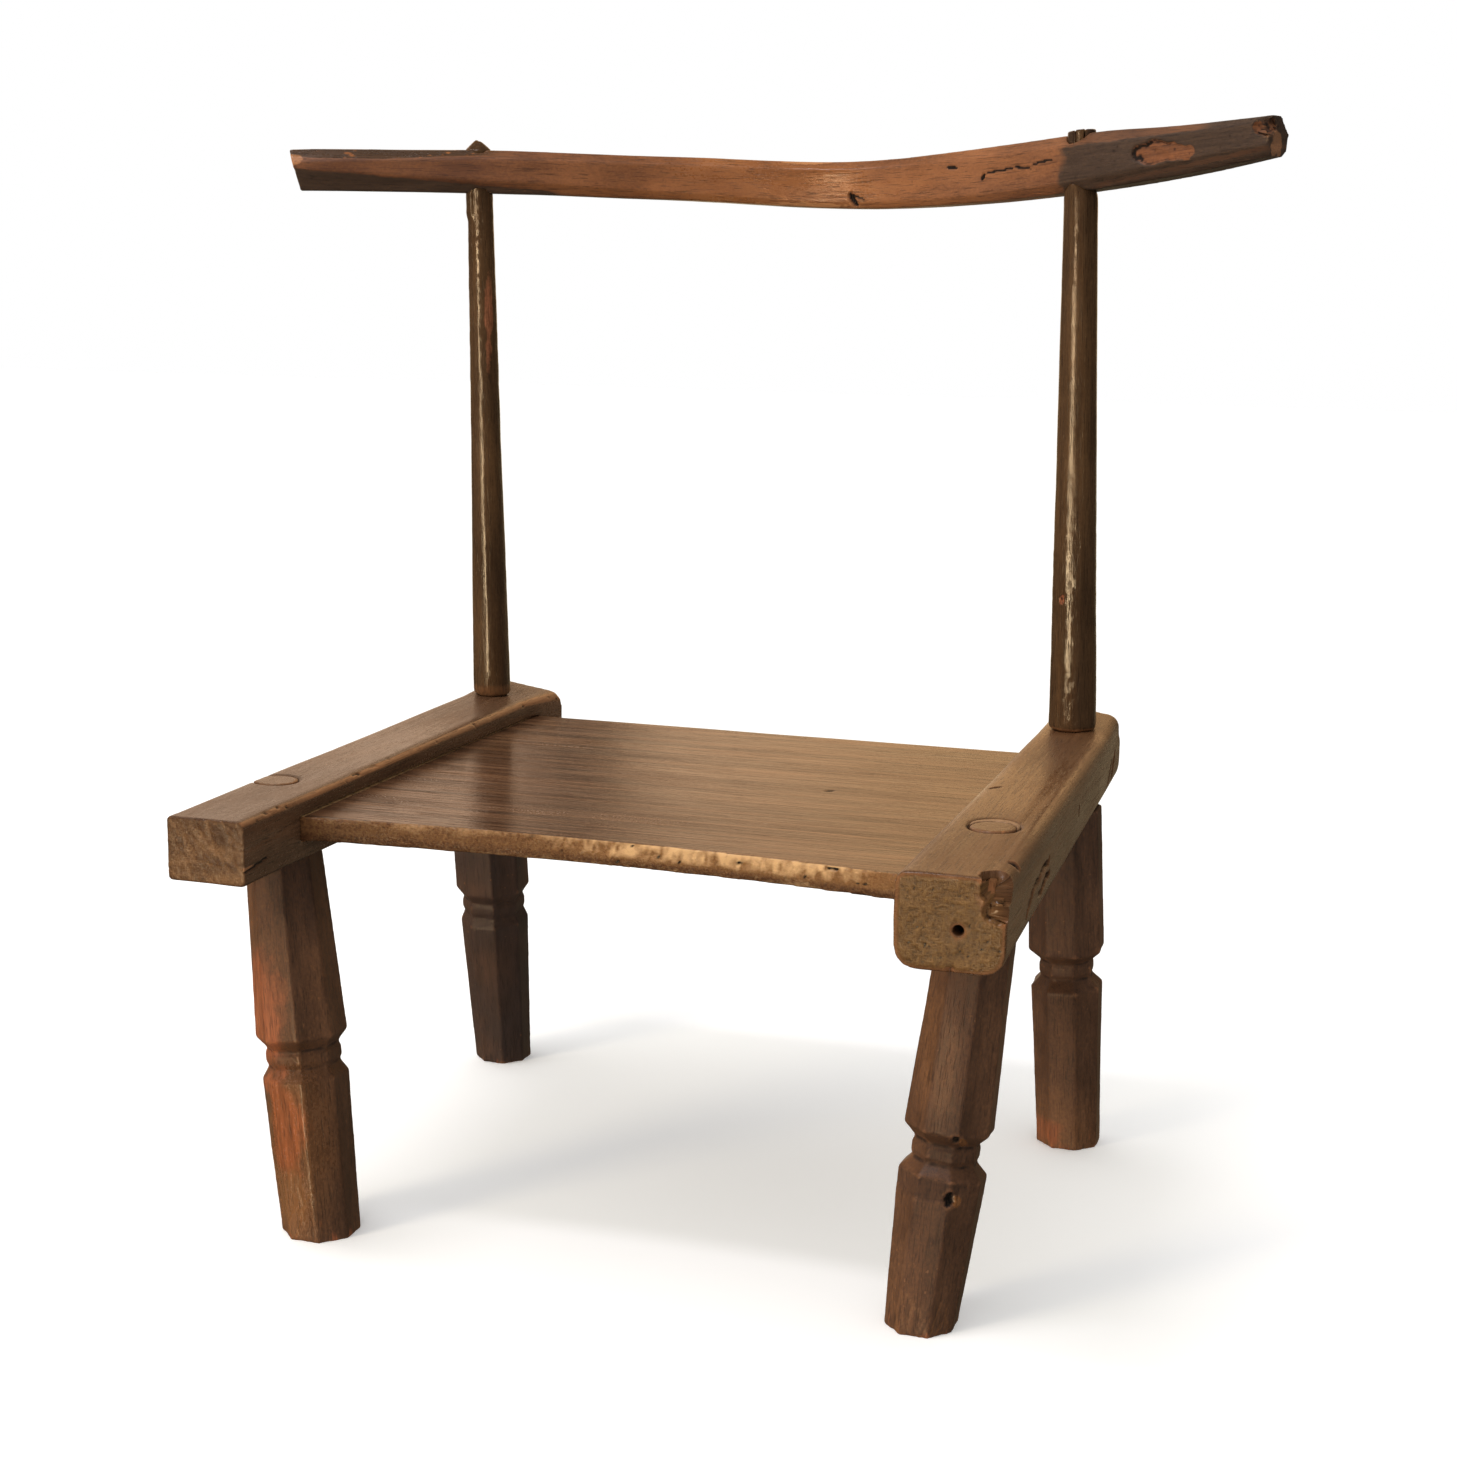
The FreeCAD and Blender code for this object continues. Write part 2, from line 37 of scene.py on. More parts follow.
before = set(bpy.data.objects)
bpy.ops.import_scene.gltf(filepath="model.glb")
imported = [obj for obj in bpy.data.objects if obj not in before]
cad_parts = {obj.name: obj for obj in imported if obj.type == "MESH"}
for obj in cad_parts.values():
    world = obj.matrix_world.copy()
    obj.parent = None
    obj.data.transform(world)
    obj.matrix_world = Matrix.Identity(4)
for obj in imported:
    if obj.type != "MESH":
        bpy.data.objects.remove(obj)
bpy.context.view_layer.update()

MM = 0.001
UP, RIGHT, FRONT = (0, 0, 1), (1, 0, 0), (0, -1, 0)

# The remeshed pieces' voxel sizes, and how deep the finer band behind a front end reaches, in mm.
RAIL_VOXEL, SEAT_VOXEL, LEG_VOXEL = 1.15, 1.9, 1.1
POST_VOXEL, CREST_VOXEL, WEDGE_VOXEL = 0.95, 1.2, 0.6
LEFT_END_DEPTH, RIGHT_END_DEPTH, SEAT_EDGE_DEPTH = 8, 9, 9


# ---- Noise and soft steps ----

def lattice(x, y, z, seed):
    """A repeatable value from -1 to 1 for each whole-number point."""
    h = (x * 73856093) ^ (y * 19349663) ^ (z * 83492791) ^ (seed * 40503 + 977)
    h = ((h ^ (h >> 13)) * 1274126177) & 0x7FFFFFFF
    return ((h ^ (h >> 15)) & 0xFFFF) / 32767.5 - 1.0


def noise(points, size, seed, octaves=1):
    """Smooth noise from -1 to 1. size is one wave's length in mm, or three for the three axes."""
    total, weight = np.zeros(len(points)), 0.0
    for octave in range(octaves):
        scaled = points / (np.asarray(size) * MM) * 2.0**octave
        cell = np.floor(scaled).astype(np.int64)
        t = scaled - cell
        t = t * t * (3 - 2 * t)
        value = 0.0
        for i in (0, 1):
            for j in (0, 1):
                for k in (0, 1):
                    share = (np.where(i, t[:, 0], 1 - t[:, 0]) * np.where(j, t[:, 1], 1 - t[:, 1])
                             * np.where(k, t[:, 2], 1 - t[:, 2]))
                    corner = lattice(cell[:, 0] + i, cell[:, 1] + j, cell[:, 2] + k, seed + octave)
                    value = value + share * corner
        total += value * 0.5**octave
        weight += 0.5**octave
    return total / weight


def step(low, high, value):
    """0 below low, 1 above high, smooth between. low may be above high."""
    t = np.clip((value - low) / (high - low), 0.0, 1.0)
    return t * t * (3 - 2 * t)


# ---- A piece being carved ----

class Carving:
    """A finely remeshed copy of a CAD node whose vertices are moved and marked in code."""

    # What the materials read at each vertex, from -1 to 1.
    MARKS = ("worn", "dirt", "tone", "cut", "stain", "endgrain")

    def __init__(self, node, voxel, rounding=3, fine=()):
        """voxel is in mm, rounding is how often the points are relaxed, and fine lists the regions
        that get smaller faces, each given by two spots."""
        self.node = node
        self.low, self.high = (np.array(corner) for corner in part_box(node))
        self.piece = bpy.data.objects.new(f"carved_{node}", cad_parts[node].data.copy())
        bpy.context.collection.objects.link(self.piece)
        self.mesh = self.remeshed(voxel)
        for region in fine:
            self.refine(region)
        self.piece.data = self.mesh
        self.points = self.read("vertices", "co", 3)
        self.edges = self.read("edges", "vertices", 2).astype(np.int64)
        self.points = self.relaxed(self.points, rounding)
        self.update()
        self.flat = self.normals.copy()    # which way the surface looked before it was carved
        self.marks = {name: np.zeros(len(self.points)) for name in self.MARKS}

    def remeshed(self, voxel):
        """The piece as a new mesh of even faces about as large as a voxel."""
        remesh = self.piece.modifiers.new("remesh", "REMESH")
        remesh.mode = "VOXEL"
        remesh.voxel_size = voxel * MM
        bpy.context.view_layer.update()
        depsgraph = bpy.context.evaluated_depsgraph_get()
        mesh = bpy.data.meshes.new_from_object(self.piece.evaluated_get(depsgraph))
        self.piece.modifiers.clear()
        return mesh

    def read(self, group, name, width):
        """One property of all the mesh's vertices or edges, as rows of the given width."""
        items = getattr(self.mesh, group)
        kind = np.int32 if name == "vertices" else np.float32
        values = np.empty(len(items) * width, dtype=kind)
        items.foreach_get(name, values)
        return values.reshape(-1, width).astype(np.float64)

    def refine(self, region):
        """Cut every face inside a region, given by two spots, into four."""
        low, high = (self.spot(*corner) for corner in region)
        shape = bmesh.new()
        shape.from_mesh(self.mesh)
        edges = {}
        for face in shape.faces:
            middle = face.calc_center_median()
            if all(low[axis] <= middle[axis] <= high[axis] for axis in range(3)):
                edges.update(dict.fromkeys(face.edges))
        bmesh.ops.subdivide_edges(shape, edges=list(edges), cuts=1, use_grid_fill=True)
        shape.to_mesh(self.mesh)
        shape.free()

    def update(self):
        """Write the points to the mesh and read its normals again."""
        self.mesh.vertices.foreach_set("co", self.points.astype(np.float32).ravel())
        self.mesh.update()
        normals = np.empty(len(self.points) * 3, dtype=np.float32)
        self.mesh.vertex_normals.foreach_get("vector", normals)
        self.normals = normals.reshape(-1, 3).astype(np.float64)

    def relaxed(self, values, rounds, share=0.5):
        """Values moved towards the mean of their neighbours, a few times over."""
        a, b = self.edges.T
        count = np.bincount(a, minlength=len(values)) + np.bincount(b, minlength=len(values))
        values = values.copy()
        for _ in range(rounds):
            for axis in range(values.shape[1]):
                column = values[:, axis]
                total = (np.bincount(a, column[b], len(column))
                         + np.bincount(b, column[a], len(column)))
                values[:, axis] = column + share * (total / count - column)
        return values

    def spot(self, x, y, z):
        """A point by its distances in mm from the box's sides: in from the low side where
        positive or 0, in from the high side where negative."""
        inset = np.array((x, y, z), dtype=float)
        return np.where(inset < 0, self.high, self.low) + inset * MM

    def noise(self, size, seed, octaves=1):
        """Noise at the piece's points, as it stands in the frame."""
        return noise(self.points, size, seed, octaves)

    def push(self, height, along=None):
        """Move each point out along its normal, or another direction, by height."""
        direction = self.normals if along is None else along
        self.points = self.points + direction * np.asarray(height)[:, None]

    def faces(self, direction, least=0.45):
        """How far each point's surface looks in a direction, as a soft mask."""
        return step(least - 0.2, least + 0.2, self.flat @ np.array(direction, dtype=float))

    def near(self, start, end, facing):
        """Distance to the line from start to end as seen along facing, and the share along it."""
        facing = np.array(facing, dtype=float)
        line = np.asarray(end, dtype=float) - start
        line = line - facing * (line @ facing)
        offset = self.points - start
        offset = offset - np.outer(offset @ facing, facing)
        share = np.clip(offset @ line / max(line @ line, 1e-12), 0.0, 1.0)
        return np.linalg.norm(offset - np.outer(share, line), axis=1), share

    def split(self, start, end, facing, width, depth, wander, seed, dirt=1.0):
        """Cut a crack or slot between two spots that narrows towards both ends."""
        kept = self.points
        self.points = kept + wander * MM * np.stack(
            [noise(kept, 9, seed + k, 2) for k in range(3)], axis=1)
        distance, share = self.near(self.spot(*start), self.spot(*end), facing)
        self.points = kept
        taper = np.sqrt(np.clip(4 * share * (1 - share), 0.0, 1.0)) * 0.75 + 0.25
        mask = step(1.25, 0.45, distance / (width * MM * taper)) * self.faces(facing, 0.3)
        self.push(-depth * MM * mask)
        self.mark("dirt", mask * dirt)

    def splits(self, rows):
        """Cut several cracks. A row gives two spots, the face that they are in, the width, depth
        and wander in mm, a seed and, unless it is 1, how dirty the crack is."""
        for row in rows:
            self.split(*row)

    def bowl(self, centre, radius, rough, seed, stretch=(1, 1, 1)):
        """Scoop out the surface inside a rough ball, its radius in mm, and return the mask."""
        stretch = np.array(stretch, dtype=float)
        reach = (self.points - self.spot(*centre)) / stretch
        uneven = radius * MM * (1 + rough * self.noise(radius * 0.8, seed, 2))
        slope = self.normals / stretch
        inner = np.einsum("ij,ij->i", reach, slope)
        scale = np.einsum("ij,ij->i", slope, slope)
        gap = np.maximum(uneven**2 - np.einsum("ij,ij->i", reach, reach), 0.0)
        depth = np.where(gap > 0, (inner + np.sqrt(inner**2 + scale * gap)) / scale, 0.0)
        self.push(-depth)
        return step(0.0, 1.2 * MM, depth)

    def patch(self, centre, size, facing, ragged, wave, seed, soft=0.1):
        """A mask: a patch of the surface round a spot, of the given half sizes in mm. Its outline
        is ragged in waves of the given length in mm."""
        reach = (self.points - self.spot(*centre)) / (np.array(size) * MM)
        facing_way = np.abs(np.array(facing, dtype=float))
        reach = reach * (1 - facing_way)
        distance = np.linalg.norm(reach, axis=1) + ragged * self.noise(wave, seed, 3)
        return step(1.0 + soft, 1.0 - soft, distance) * self.faces(facing, 0.2)

    def ring(self, centre, radius, facing, width=0.9, depth=0.5, seed=1):
        """A thin broken round joint line; its sizes are in mm."""
        across = (self.points - self.spot(*centre)) * (1 - np.abs(np.array(facing)))
        off = np.abs(np.linalg.norm(across, axis=1) - radius * MM)
        broken = 0.6 + 0.4 * self.noise(9, seed)
        mask = step(width * MM, 0.4 * width * MM, off) * self.faces(facing) * broken
        self.push(-depth * MM * mask)
        self.mark("dirt", mask)

    def scratches(self, low, high, facing, angle, count, length, seed):
        """Fine scratches, mostly at one angle, between two spots. Their length is in mm."""
        draw = np.random.default_rng(seed)
        upright = np.array((0.0, 0.0, 1.0))
        sideways = np.cross(upright, np.array(facing, dtype=float))
        lowest, highest = self.spot(*low), self.spot(*high)
        total = np.zeros(len(self.points))
        for _ in range(count):
            middle = lowest + (highest - lowest) * draw.random(3)
            turn = math.radians(angle + draw.normal(0, 18))
            half = 0.5 * length * MM * draw.uniform(0.4, 1.3)
            run = (sideways * math.cos(turn) + upright * math.sin(turn)) * half
            distance, _ = self.near(middle - run, middle + run, facing)
            total = np.maximum(total, step(0.8 * MM, 0.2 * MM, distance) * draw.uniform(0.5, 1.0))
        total = total * self.faces(facing)
        self.push(-0.3 * MM * total)
        self.mark("tone", 0.7 * total)

    def soften(self, rounds, mask):
        """Round the corners off where the mask is 1."""
        moved = self.relaxed(self.points, rounds) - self.points
        self.points = self.points + moved * mask[:, None]
        self.update()
        self.flat = self.normals.copy()

    def inner(self, mask, rounds):
        """A mask drawn in from its own outline."""
        return step(0.82, 0.99, self.relaxed(mask[:, None], rounds)[:, 0])

    def pits(self, mask, depth, seed):
        """Rough broken end grain: short furrows both ways, and holes."""
        rows = self.noise((4, 4, 1.3), seed, 2)
        columns = self.noise((1.4, 1.4, 3.5), seed + 3, 2)
        rough = np.maximum(rows, columns) - 0.2
        holes = step(0.35, 0.7, self.noise(2.2, seed + 6, 2))
        self.push(depth * mask * (rough * 0.8 - holes))
        self.mark("endgrain", mask)
        self.mark("tone", mask * rough * 0.7)
        self.mark("dirt", mask * holes * 0.6)

    def mark(self, name, mask):
        """Add to a mark without passing 1 either way."""
        self.marks[name] = np.clip(self.marks[name] + mask, -1.0, 1.0)

    def wear_edges(self, rounds=14, scale=0.55 * MM, worn=1.0, dirt=1.0, seed=3):
        """Mark edges that stick out as worn, and grooves and corners as dirty."""
        self.update()
        bulge = np.einsum("ij,ij->i", self.points - self.relaxed(self.points, rounds), self.normals)
        broken = 0.5 + 0.5 * self.noise(12, seed, 3)
        ridge = self.relaxed(step(0.2, 1.0, bulge / scale)[:, None], 4)[:, 0]
        self.mark("worn", worn * ridge * broken)
        self.mark("dirt", dirt * step(0.2, 1.1, -bulge / scale))

    def finish(self, grain, material, slot):
        """Store the marks and the grain's coordinates, and hand the piece to the frame."""
        self.update()
        for name, values in self.marks.items():
            layer = self.mesh.attributes.new(name, "FLOAT", "POINT")
            layer.data.foreach_set("value", values.astype(np.float32))
        layer = self.mesh.attributes.new("grain", "FLOAT_VECTOR", "POINT")
        layer.data.foreach_set("vector", grain.astype(np.float32).ravel())
        self.mesh.polygons.foreach_set("use_smooth", np.ones(len(self.mesh.polygons), dtype=bool))
        self.mesh.materials.clear()
        self.mesh.materials.append(material)
        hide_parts(self.node)
        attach(self.piece, "root")


# ---- Grain coordinates: across, across, along ----

def straight_grain(points, along):
    """Grain that runs along one of the frame's axes."""
    order = [axis for axis in range(3) if axis != along] + [along]
    return points[:, order]


def axis_frame(points, low_share=0.1, high_share=0.75):
    """The foot and the direction of an upright piece's own axis, from two of its slices."""
    z = points[:, 2]
    bottom, height = z.min(), np.ptp(z)
    middles = []
    for share in (low_share, high_share):
        level = bottom + share * height
        middles.append(points[np.abs(z - level) < 0.03 * height].mean(axis=0))
    axis = middles[1] - middles[0]
    axis = axis / np.linalg.norm(axis)
    return middles[0] - axis * (middles[0][2] - bottom) / axis[2], axis


def axial_grain(points, foot, axis):
    """Grain that runs along a leaning axis."""
    side = np.cross(axis, (0.0, 1.0, 0.0))
    side = side / np.linalg.norm(side)
    front = np.cross(side, axis)
    offset = points - foot
    return np.stack([offset @ side, offset @ front, offset @ axis], axis=1)


def bowed_grain(points, slices=48, keep=6):
    """Grain that follows the bow of a piece that runs from left to right."""
    x = points[:, 0]
    stops = np.linspace(x.min(), x.max(), slices + 1)
    bins = np.clip(np.digitize(x, stops) - 1, 0, slices - 1)
    count = np.maximum(np.bincount(bins, minlength=slices), 1)
    centres = [np.bincount(bins, points[:, axis], slices) / count for axis in range(3)]
    for axis in (1, 2):
        curve = np.polyfit(centres[0], centres[axis], keep)
        centres[axis] = np.polyval(curve, centres[0])
    run = np.hypot(np.diff(centres[0]), np.diff(centres[1]))
    length = np.concatenate([[0.0], np.cumsum(run)])
    slope = np.gradient(centres[1], centres[0])
    heading = np.arctan(np.interp(x, centres[0], slope))
    back = points[:, 1] - np.interp(x, centres[0], centres[1])
    along = np.interp(x, centres[0], length) + back * np.sin(heading)
    return np.stack([back * np.cos(heading), points[:, 2] - np.interp(x, centres[0], centres[2]),
                     along], axis=1)


# ---- Shader nodes ----

class Nodes:
    """Adds nodes to a shader tree, and links or sets their inputs."""

    def __init__(self, tree):
        self.tree = tree

    def add(self, kind, inputs=None, **settings):
        """Add a node. Inputs are sockets to link or values to set, by name or by number."""
        node = self.tree.nodes.new(kind)
        for key, value in settings.items():
            setattr(node, key, value)
        for key, value in (inputs or {}).items():
            self.feed(node.inputs[key], value)
        return node

    def feed(self, socket, value):
        """Link a socket to another node's output, or set it to a plain value."""
        if isinstance(value, bpy.types.NodeSocket):
            self.tree.links.new(value, socket)
        else:
            socket.default_value = value

    def math(self, operation, a, b=0.5, c=0.5, clamp=False):
        """A math node. An operation that takes fewer than three values ignores the rest."""
        return self.add("ShaderNodeMath", {0: a, 1: b, 2: c}, operation=operation,
                        use_clamp=clamp).outputs[0]

    def ramp(self, value, low, high, out_low=0.0, out_high=1.0):
        """A clamped straight ramp."""
        return self.add("ShaderNodeMapRange", {
            "Value": value, "From Min": low, "From Max": high, "To Min": out_low,
            "To Max": out_high}).outputs[0]

    def mix(self, share, a, b):
        """A colour between two others."""
        return self.add("ShaderNodeMix", {0: share, 6: a, 7: b}, data_type="RGBA").outputs[2]


def new_material(name):
    """A new material that uses nodes, and its shader."""
    material = bpy.data.materials.new(name)
    material.use_nodes = True
    return material, next(n for n in material.node_tree.nodes if n.type == "BSDF_PRINCIPLED")


# ---- Wood materials ----

PORE_COLOUR, DIRT_COLOUR = (34, 22, 15), (24, 16, 11)

# Noise scales in waves per metre: across, across and along the grain.
CLOUDS, SPECKS = (26, 26, 11), (650, 650, 420)
END_ROWS, END_COLUMNS = (380, 1000, 600), (1000, 420, 600)


class Wood(Nodes):
    """Builds one wood material; its nodes read the grain coordinates and the carved marks."""

    def __init__(self, name):
        self.material, self.shader = new_material(name)
        super().__init__(self.material.node_tree)

    def attribute(self, name, output="Fac"):
        """A mark that the carving left on the mesh."""
        return self.add("ShaderNodeAttribute", attribute_name=name).outputs[output]

    def noise(self, vector, scale, detail=3.0, rough=0.55, distortion=0.0):
        """Noise whose scale is in waves per metre: across, across, along the grain."""
        scaled = self.add("ShaderNodeVectorMath", {0: vector, 1: scale}, operation="MULTIPLY")
        return self.add("ShaderNodeTexNoise", {
            "Vector": scaled.outputs[0], "Scale": 1.0, "Detail": detail, "Roughness": rough,
            "Distortion": distortion}).outputs["Fac"]


def rgb(display):
    """A display colour from 0 to 255 as the linear colour that shaders use."""
    def linear(value):
        value = value / 255
        return value / 12.92 if value <= 0.04045 else ((value + 0.055) / 1.055) ** 2.4
    return (*(linear(value) for value in display), 1.0)


def wood(name, dark, mid, light, worn, bare, stain=(46, 36, 30), end=((62, 42, 26), (150, 112, 66)),
         streak=(420, 420, 9), figure=(75, 75, 2.5), pores=(1500, 1500, 60), pore_limit=0.43,
         shares=(0.4, 0.3, 0.2, 0.1), contrast=1.0, rough=(0.26, 0.42), relief=0.25 * MM,
         pore_depth=0.5, end_rough=0.26):
    """Waxed wood: streaks, figure and pores along the grain, worn edges, dirt in the hollows.

    Colours are display colours from 0 to 255: dark, mid and light for the plain wood, bare where
    it is freshly cut, and stain and end for stained wood and end grain. The carved marks choose
    between them. shares says how much streaks, figure, clouds and specks count in the tone.
    """
    w = Wood(name)
    grain = w.attribute("grain", "Vector")
    fibres = w.noise(grain, streak, 5.0, 0.62)
    bands = w.noise(grain, figure, 3.0, 0.5, 0.7)
    cloud = w.noise(grain, CLOUDS, 4.0, 0.6)
    pits = w.noise(grain, pores, 2.0, 0.5)
    speck = w.noise(grain, SPECKS, 3.0, 0.6)
    crumb = w.math("MAXIMUM", w.noise(grain, END_ROWS, 3.0, 0.6),
                   w.noise(grain, END_COLUMNS, 3.0, 0.6))

    tone = w.math("MULTIPLY", fibres, shares[0])
    for layer, share in zip((bands, cloud, speck), shares[1:]):
        tone = w.math("MULTIPLY_ADD", layer, share, tone)
    tone = w.ramp(tone, 0.5 - 0.13 / contrast, 0.5 + 0.13 / contrast)
    tone = w.math("MULTIPLY_ADD", w.attribute("tone"), 0.5, tone, clamp=True)
    colour = w.mix(w.ramp(tone, 0.0, 0.5), rgb(dark), rgb(mid))
    colour = w.mix(w.ramp(tone, 0.5, 1.0), colour, rgb(light))

    stained = w.math("MULTIPLY_ADD", speck, 0.3, w.attribute("stain"))
    stained = w.ramp(stained, 0.3, 0.85)
    aged = w.mix(w.ramp(fibres, 0.35, 0.65), rgb(stain), rgb(tuple(1.25 * part for part in stain)))
    colour = w.mix(stained, colour, aged)

    ends = w.attribute("endgrain")
    grit = w.math("MULTIPLY_ADD", w.attribute("tone"), 0.35, crumb)
    colour = w.mix(ends, colour, w.mix(w.ramp(grit, 0.36, 0.82), rgb(end[0]), rgb(end[1])))

    fresh = w.mix(w.ramp(fibres, 0.38, 0.62), rgb(tuple(0.8 * part for part in bare)), rgb(bare))
    cut = w.math("MULTIPLY_ADD", speck, 0.4, w.attribute("cut"))
    colour = w.mix(w.ramp(cut, 0.4, 0.8), colour, fresh)
    edge = w.math("MULTIPLY_ADD", speck, 0.45, w.attribute("worn"))
    edge = w.ramp(edge, 0.4, 1.0)
    colour = w.mix(edge, colour, rgb(worn))

    pit = w.ramp(pits, pore_limit - 0.07, pore_limit, 1.0, 0.0)
    pit = w.math("MULTIPLY", pit, w.ramp(ends, 0.0, 0.8, 1.0, 0.0))
    colour = w.mix(w.math("MULTIPLY", pit, 0.5), colour, rgb(PORE_COLOUR))
    dirt = w.ramp(w.math("MULTIPLY_ADD", speck, 0.35, w.attribute("dirt")), 0.3, 0.95)
    colour = w.mix(dirt, colour, rgb(DIRT_COLOUR))
    w.feed(w.shader.inputs["Base Color"], colour)

    gloss = w.math("MULTIPLY_ADD", speck, 0.35, w.math("MULTIPLY", cloud, 0.35))
    gloss = w.math("MULTIPLY_ADD", fibres, 0.3, gloss)
    gloss = w.ramp(gloss, 0.38, 0.62, *rough)
    gloss = w.math("MULTIPLY_ADD", dirt, 0.3, gloss, clamp=True)
    gloss = w.math("MULTIPLY_ADD", w.attribute("tone"), -0.35, gloss, clamp=True)
    gloss = w.ramp(ends, 0.0, 1.0, gloss, end_rough)
    w.feed(w.shader.inputs["Roughness"], gloss)

    height = w.math("MULTIPLY_ADD", fibres, 0.8, w.math("MULTIPLY", speck, 0.4))
    height = w.math("SUBTRACT", height, w.math("MULTIPLY", pit, pore_depth))
    height = w.math("MULTIPLY_ADD", w.math("MULTIPLY", crumb, 3.0), ends, height)
    bump = w.add("ShaderNodeBump", {"Height": height, "Strength": 0.6, "Distance": relief})
    w.feed(w.shader.inputs["Normal"], bump.outputs[0])
    return w.material


# Each wood's colours and finish, as wood() describes them.
LOOKS = {
    "left_rail": dict(
        dark=(64, 44, 32), mid=(92, 66, 47), light=(118, 87, 63),
        worn=(142, 98, 66), bare=(148, 96, 56), end=((70, 46, 29), (128, 92, 60)),
        shares=(0.25, 0.2, 0.4, 0.15), contrast=0.8, rough=(0.12, 0.36)),
    "right_rail": dict(
        dark=(70, 46, 31), mid=(98, 67, 43), light=(126, 90, 59),
        worn=(150, 100, 66), bare=(140, 90, 50), end=((70, 48, 25), (127, 90, 48)),
        shares=(0.25, 0.2, 0.4, 0.15), contrast=0.8, rough=(0.12, 0.4)),
    "seat": dict(
        dark=(52, 34, 24), mid=(88, 60, 42), light=(116, 82, 57),
        # The seat's pale gold worn colour is wear and also a painted highlight, on the front edge
        # and arrises.
        worn=(208, 166, 118), bare=(160, 98, 52), end=((76, 47, 29), (138, 96, 58)),
        streak=(380, 380, 5), figure=(130, 130, 1.8), pores=(620, 620, 16),
        pore_limit=0.45, shares=(0.5, 0.32, 0.1, 0.08), contrast=1.5,
        rough=(0.06, 0.24), relief=0.5 * MM, end_rough=0.15),
    "leg": dict(
        dark=(60, 39, 25), mid=(94, 62, 39), light=(128, 86, 53),
        worn=(150, 100, 62), bare=(158, 90, 52), stain=(50, 40, 37),
        end=((84, 60, 42), (116, 86, 60)), streak=(330, 330, 40),
        shares=(0.14, 0.14, 0.42, 0.3), contrast=0.8, rough=(0.38, 0.58)),
    "post": dict(
        dark=(46, 32, 22), mid=(74, 53, 35), light=(98, 71, 46),
        worn=(116, 78, 50), bare=(176, 108, 76),
        shares=(0.22, 0.23, 0.4, 0.15), contrast=0.8, rough=(0.1, 0.2)),
    "crest": dict(
        dark=(98, 59, 35), mid=(144, 91, 53), light=(166, 110, 66),
        worn=(178, 122, 78), bare=(140, 84, 46), stain=(67, 50, 38),
        shares=(0.08, 0.12, 0.55, 0.25), contrast=0.6, rough=(0.22, 0.36)),
    "wedge": dict(
        dark=(100, 74, 52), mid=(142, 108, 80), light=(170, 134, 102),
        worn=(178, 134, 102), bare=(170, 122, 84)),
}
MATERIALS = {name: wood(name, **look) for name, look in LOOKS.items()}


def hewn(c, grain, *waves):
    """Shallow waves that a hand tool leaves along the grain: their lengths and height in mm, and
    a seed."""
    for length, height, seed in waves:
        c.push(height * MM * noise(grain, length, seed, 2))


# ---- Side rails ----

SQUARENESS = 4      # the power of the curve round the right rail's top outer corner; 2 is round


def left_rail():
    """Squared, satin, with a worn inner arris and a split groove at its front end."""
    c = Carving("left_side_rail", RAIL_VOXEL, rounding=8,
                fine=[((0, 0, 0), (-0.1, LEFT_END_DEPTH, -0.1))])
    grain = straight_grain(c.points, 1)
    hewn(c, grain, ((40, 40, 130), 0.6, 11), ((7, 7, 60), 0.08, 12))

    cut_end = c.faces(FRONT, 0.6)
    c.push(cut_end * 0.35 * MM * c.noise(3, 13, 2))
    c.mark("endgrain", 0.85 * cut_end)
    c.mark("tone", cut_end * 0.8 * c.noise((30, 30, 9), 14, 2))
    c.scratches((4, 0, 6), (-14, 1, -5), FRONT, -50, 34, 16, 15)
    c.scratches((24, 0, -18), (26, 1, -20), FRONT, -53, 2, 26, 16)

    # The seat's groove runs out at the front in a torn step, with a crack under it.
    c.splits([((-3, 0, -24), (-3, 74, -20), RIGHT, 1.9, 0.5, 1.0, 17, 0.0),
              ((-3, 0, 14.5), (-3, 28, 18.5), RIGHT, 0.9, 1.0, 0.6, 18, 0.2)])
    c.mark("worn", 0.8 * c.patch((-3, 3, 16.5), (9, 9, 1.2), RIGHT, 0.5, 5, 19))

    # Nicks along the top of the front end.
    nicks = ((13, 1.5), (16, 2.2), (19.5, 1.6), (25, 1.0), (33, 0.9), (39, 1.2), (47, 0.8))
    for number, (place, radius) in enumerate(nicks):
        c.bowl((place, 0.2, -1.2), radius, 0.3, 20 + number, (1.0, 2.0, 1.2))
    rim = step(7 * MM, 0, c.points[:, 1] - c.low[1])
    rim = rim * step(5 * MM, MM, c.high[2] - c.points[:, 2])
    c.mark("worn", 0.9 * rim * (0.6 + 0.6 * c.noise(5, 28, 2)))

    # The inner top edge is worn round, and pitted.
    arris = step(0.25, 0.5, c.flat[:, 0]) * step(0.25, 0.5, c.flat[:, 2])
    c.mark("tone", 0.6 * arris)
    c.mark("worn", arris * (0.6 + 0.45 * c.noise((9, 35, 9), 29, 3)))
    dents = step(0.3, 0.75, c.noise((3.5, 6, 3.5), 30, 2))
    c.push(-0.9 * MM * dents * arris)
    c.mark("dirt", 0.7 * dents * arris)
    c.ring((14.5, 113, -6), 14.6, UP, 0.7, 0.15, seed=31)
    # Painted reflection: the top is darker where the post's dark reflection falls, and at the
    # front.
    c.mark("tone", -0.2 * c.patch((25, 380, 0), (60, 60, 1), UP, 0.3, 30, 32, 0.8))
    c.mark("tone", -0.22 * c.patch((25, 40, 0), (60, 110, 1), UP, 0.3, 30, 34, 0.8))
    c.wear_edges(worn=0.6, seed=33)
    c.finish(grain, MATERIALS["left_rail"], "rail_wood")


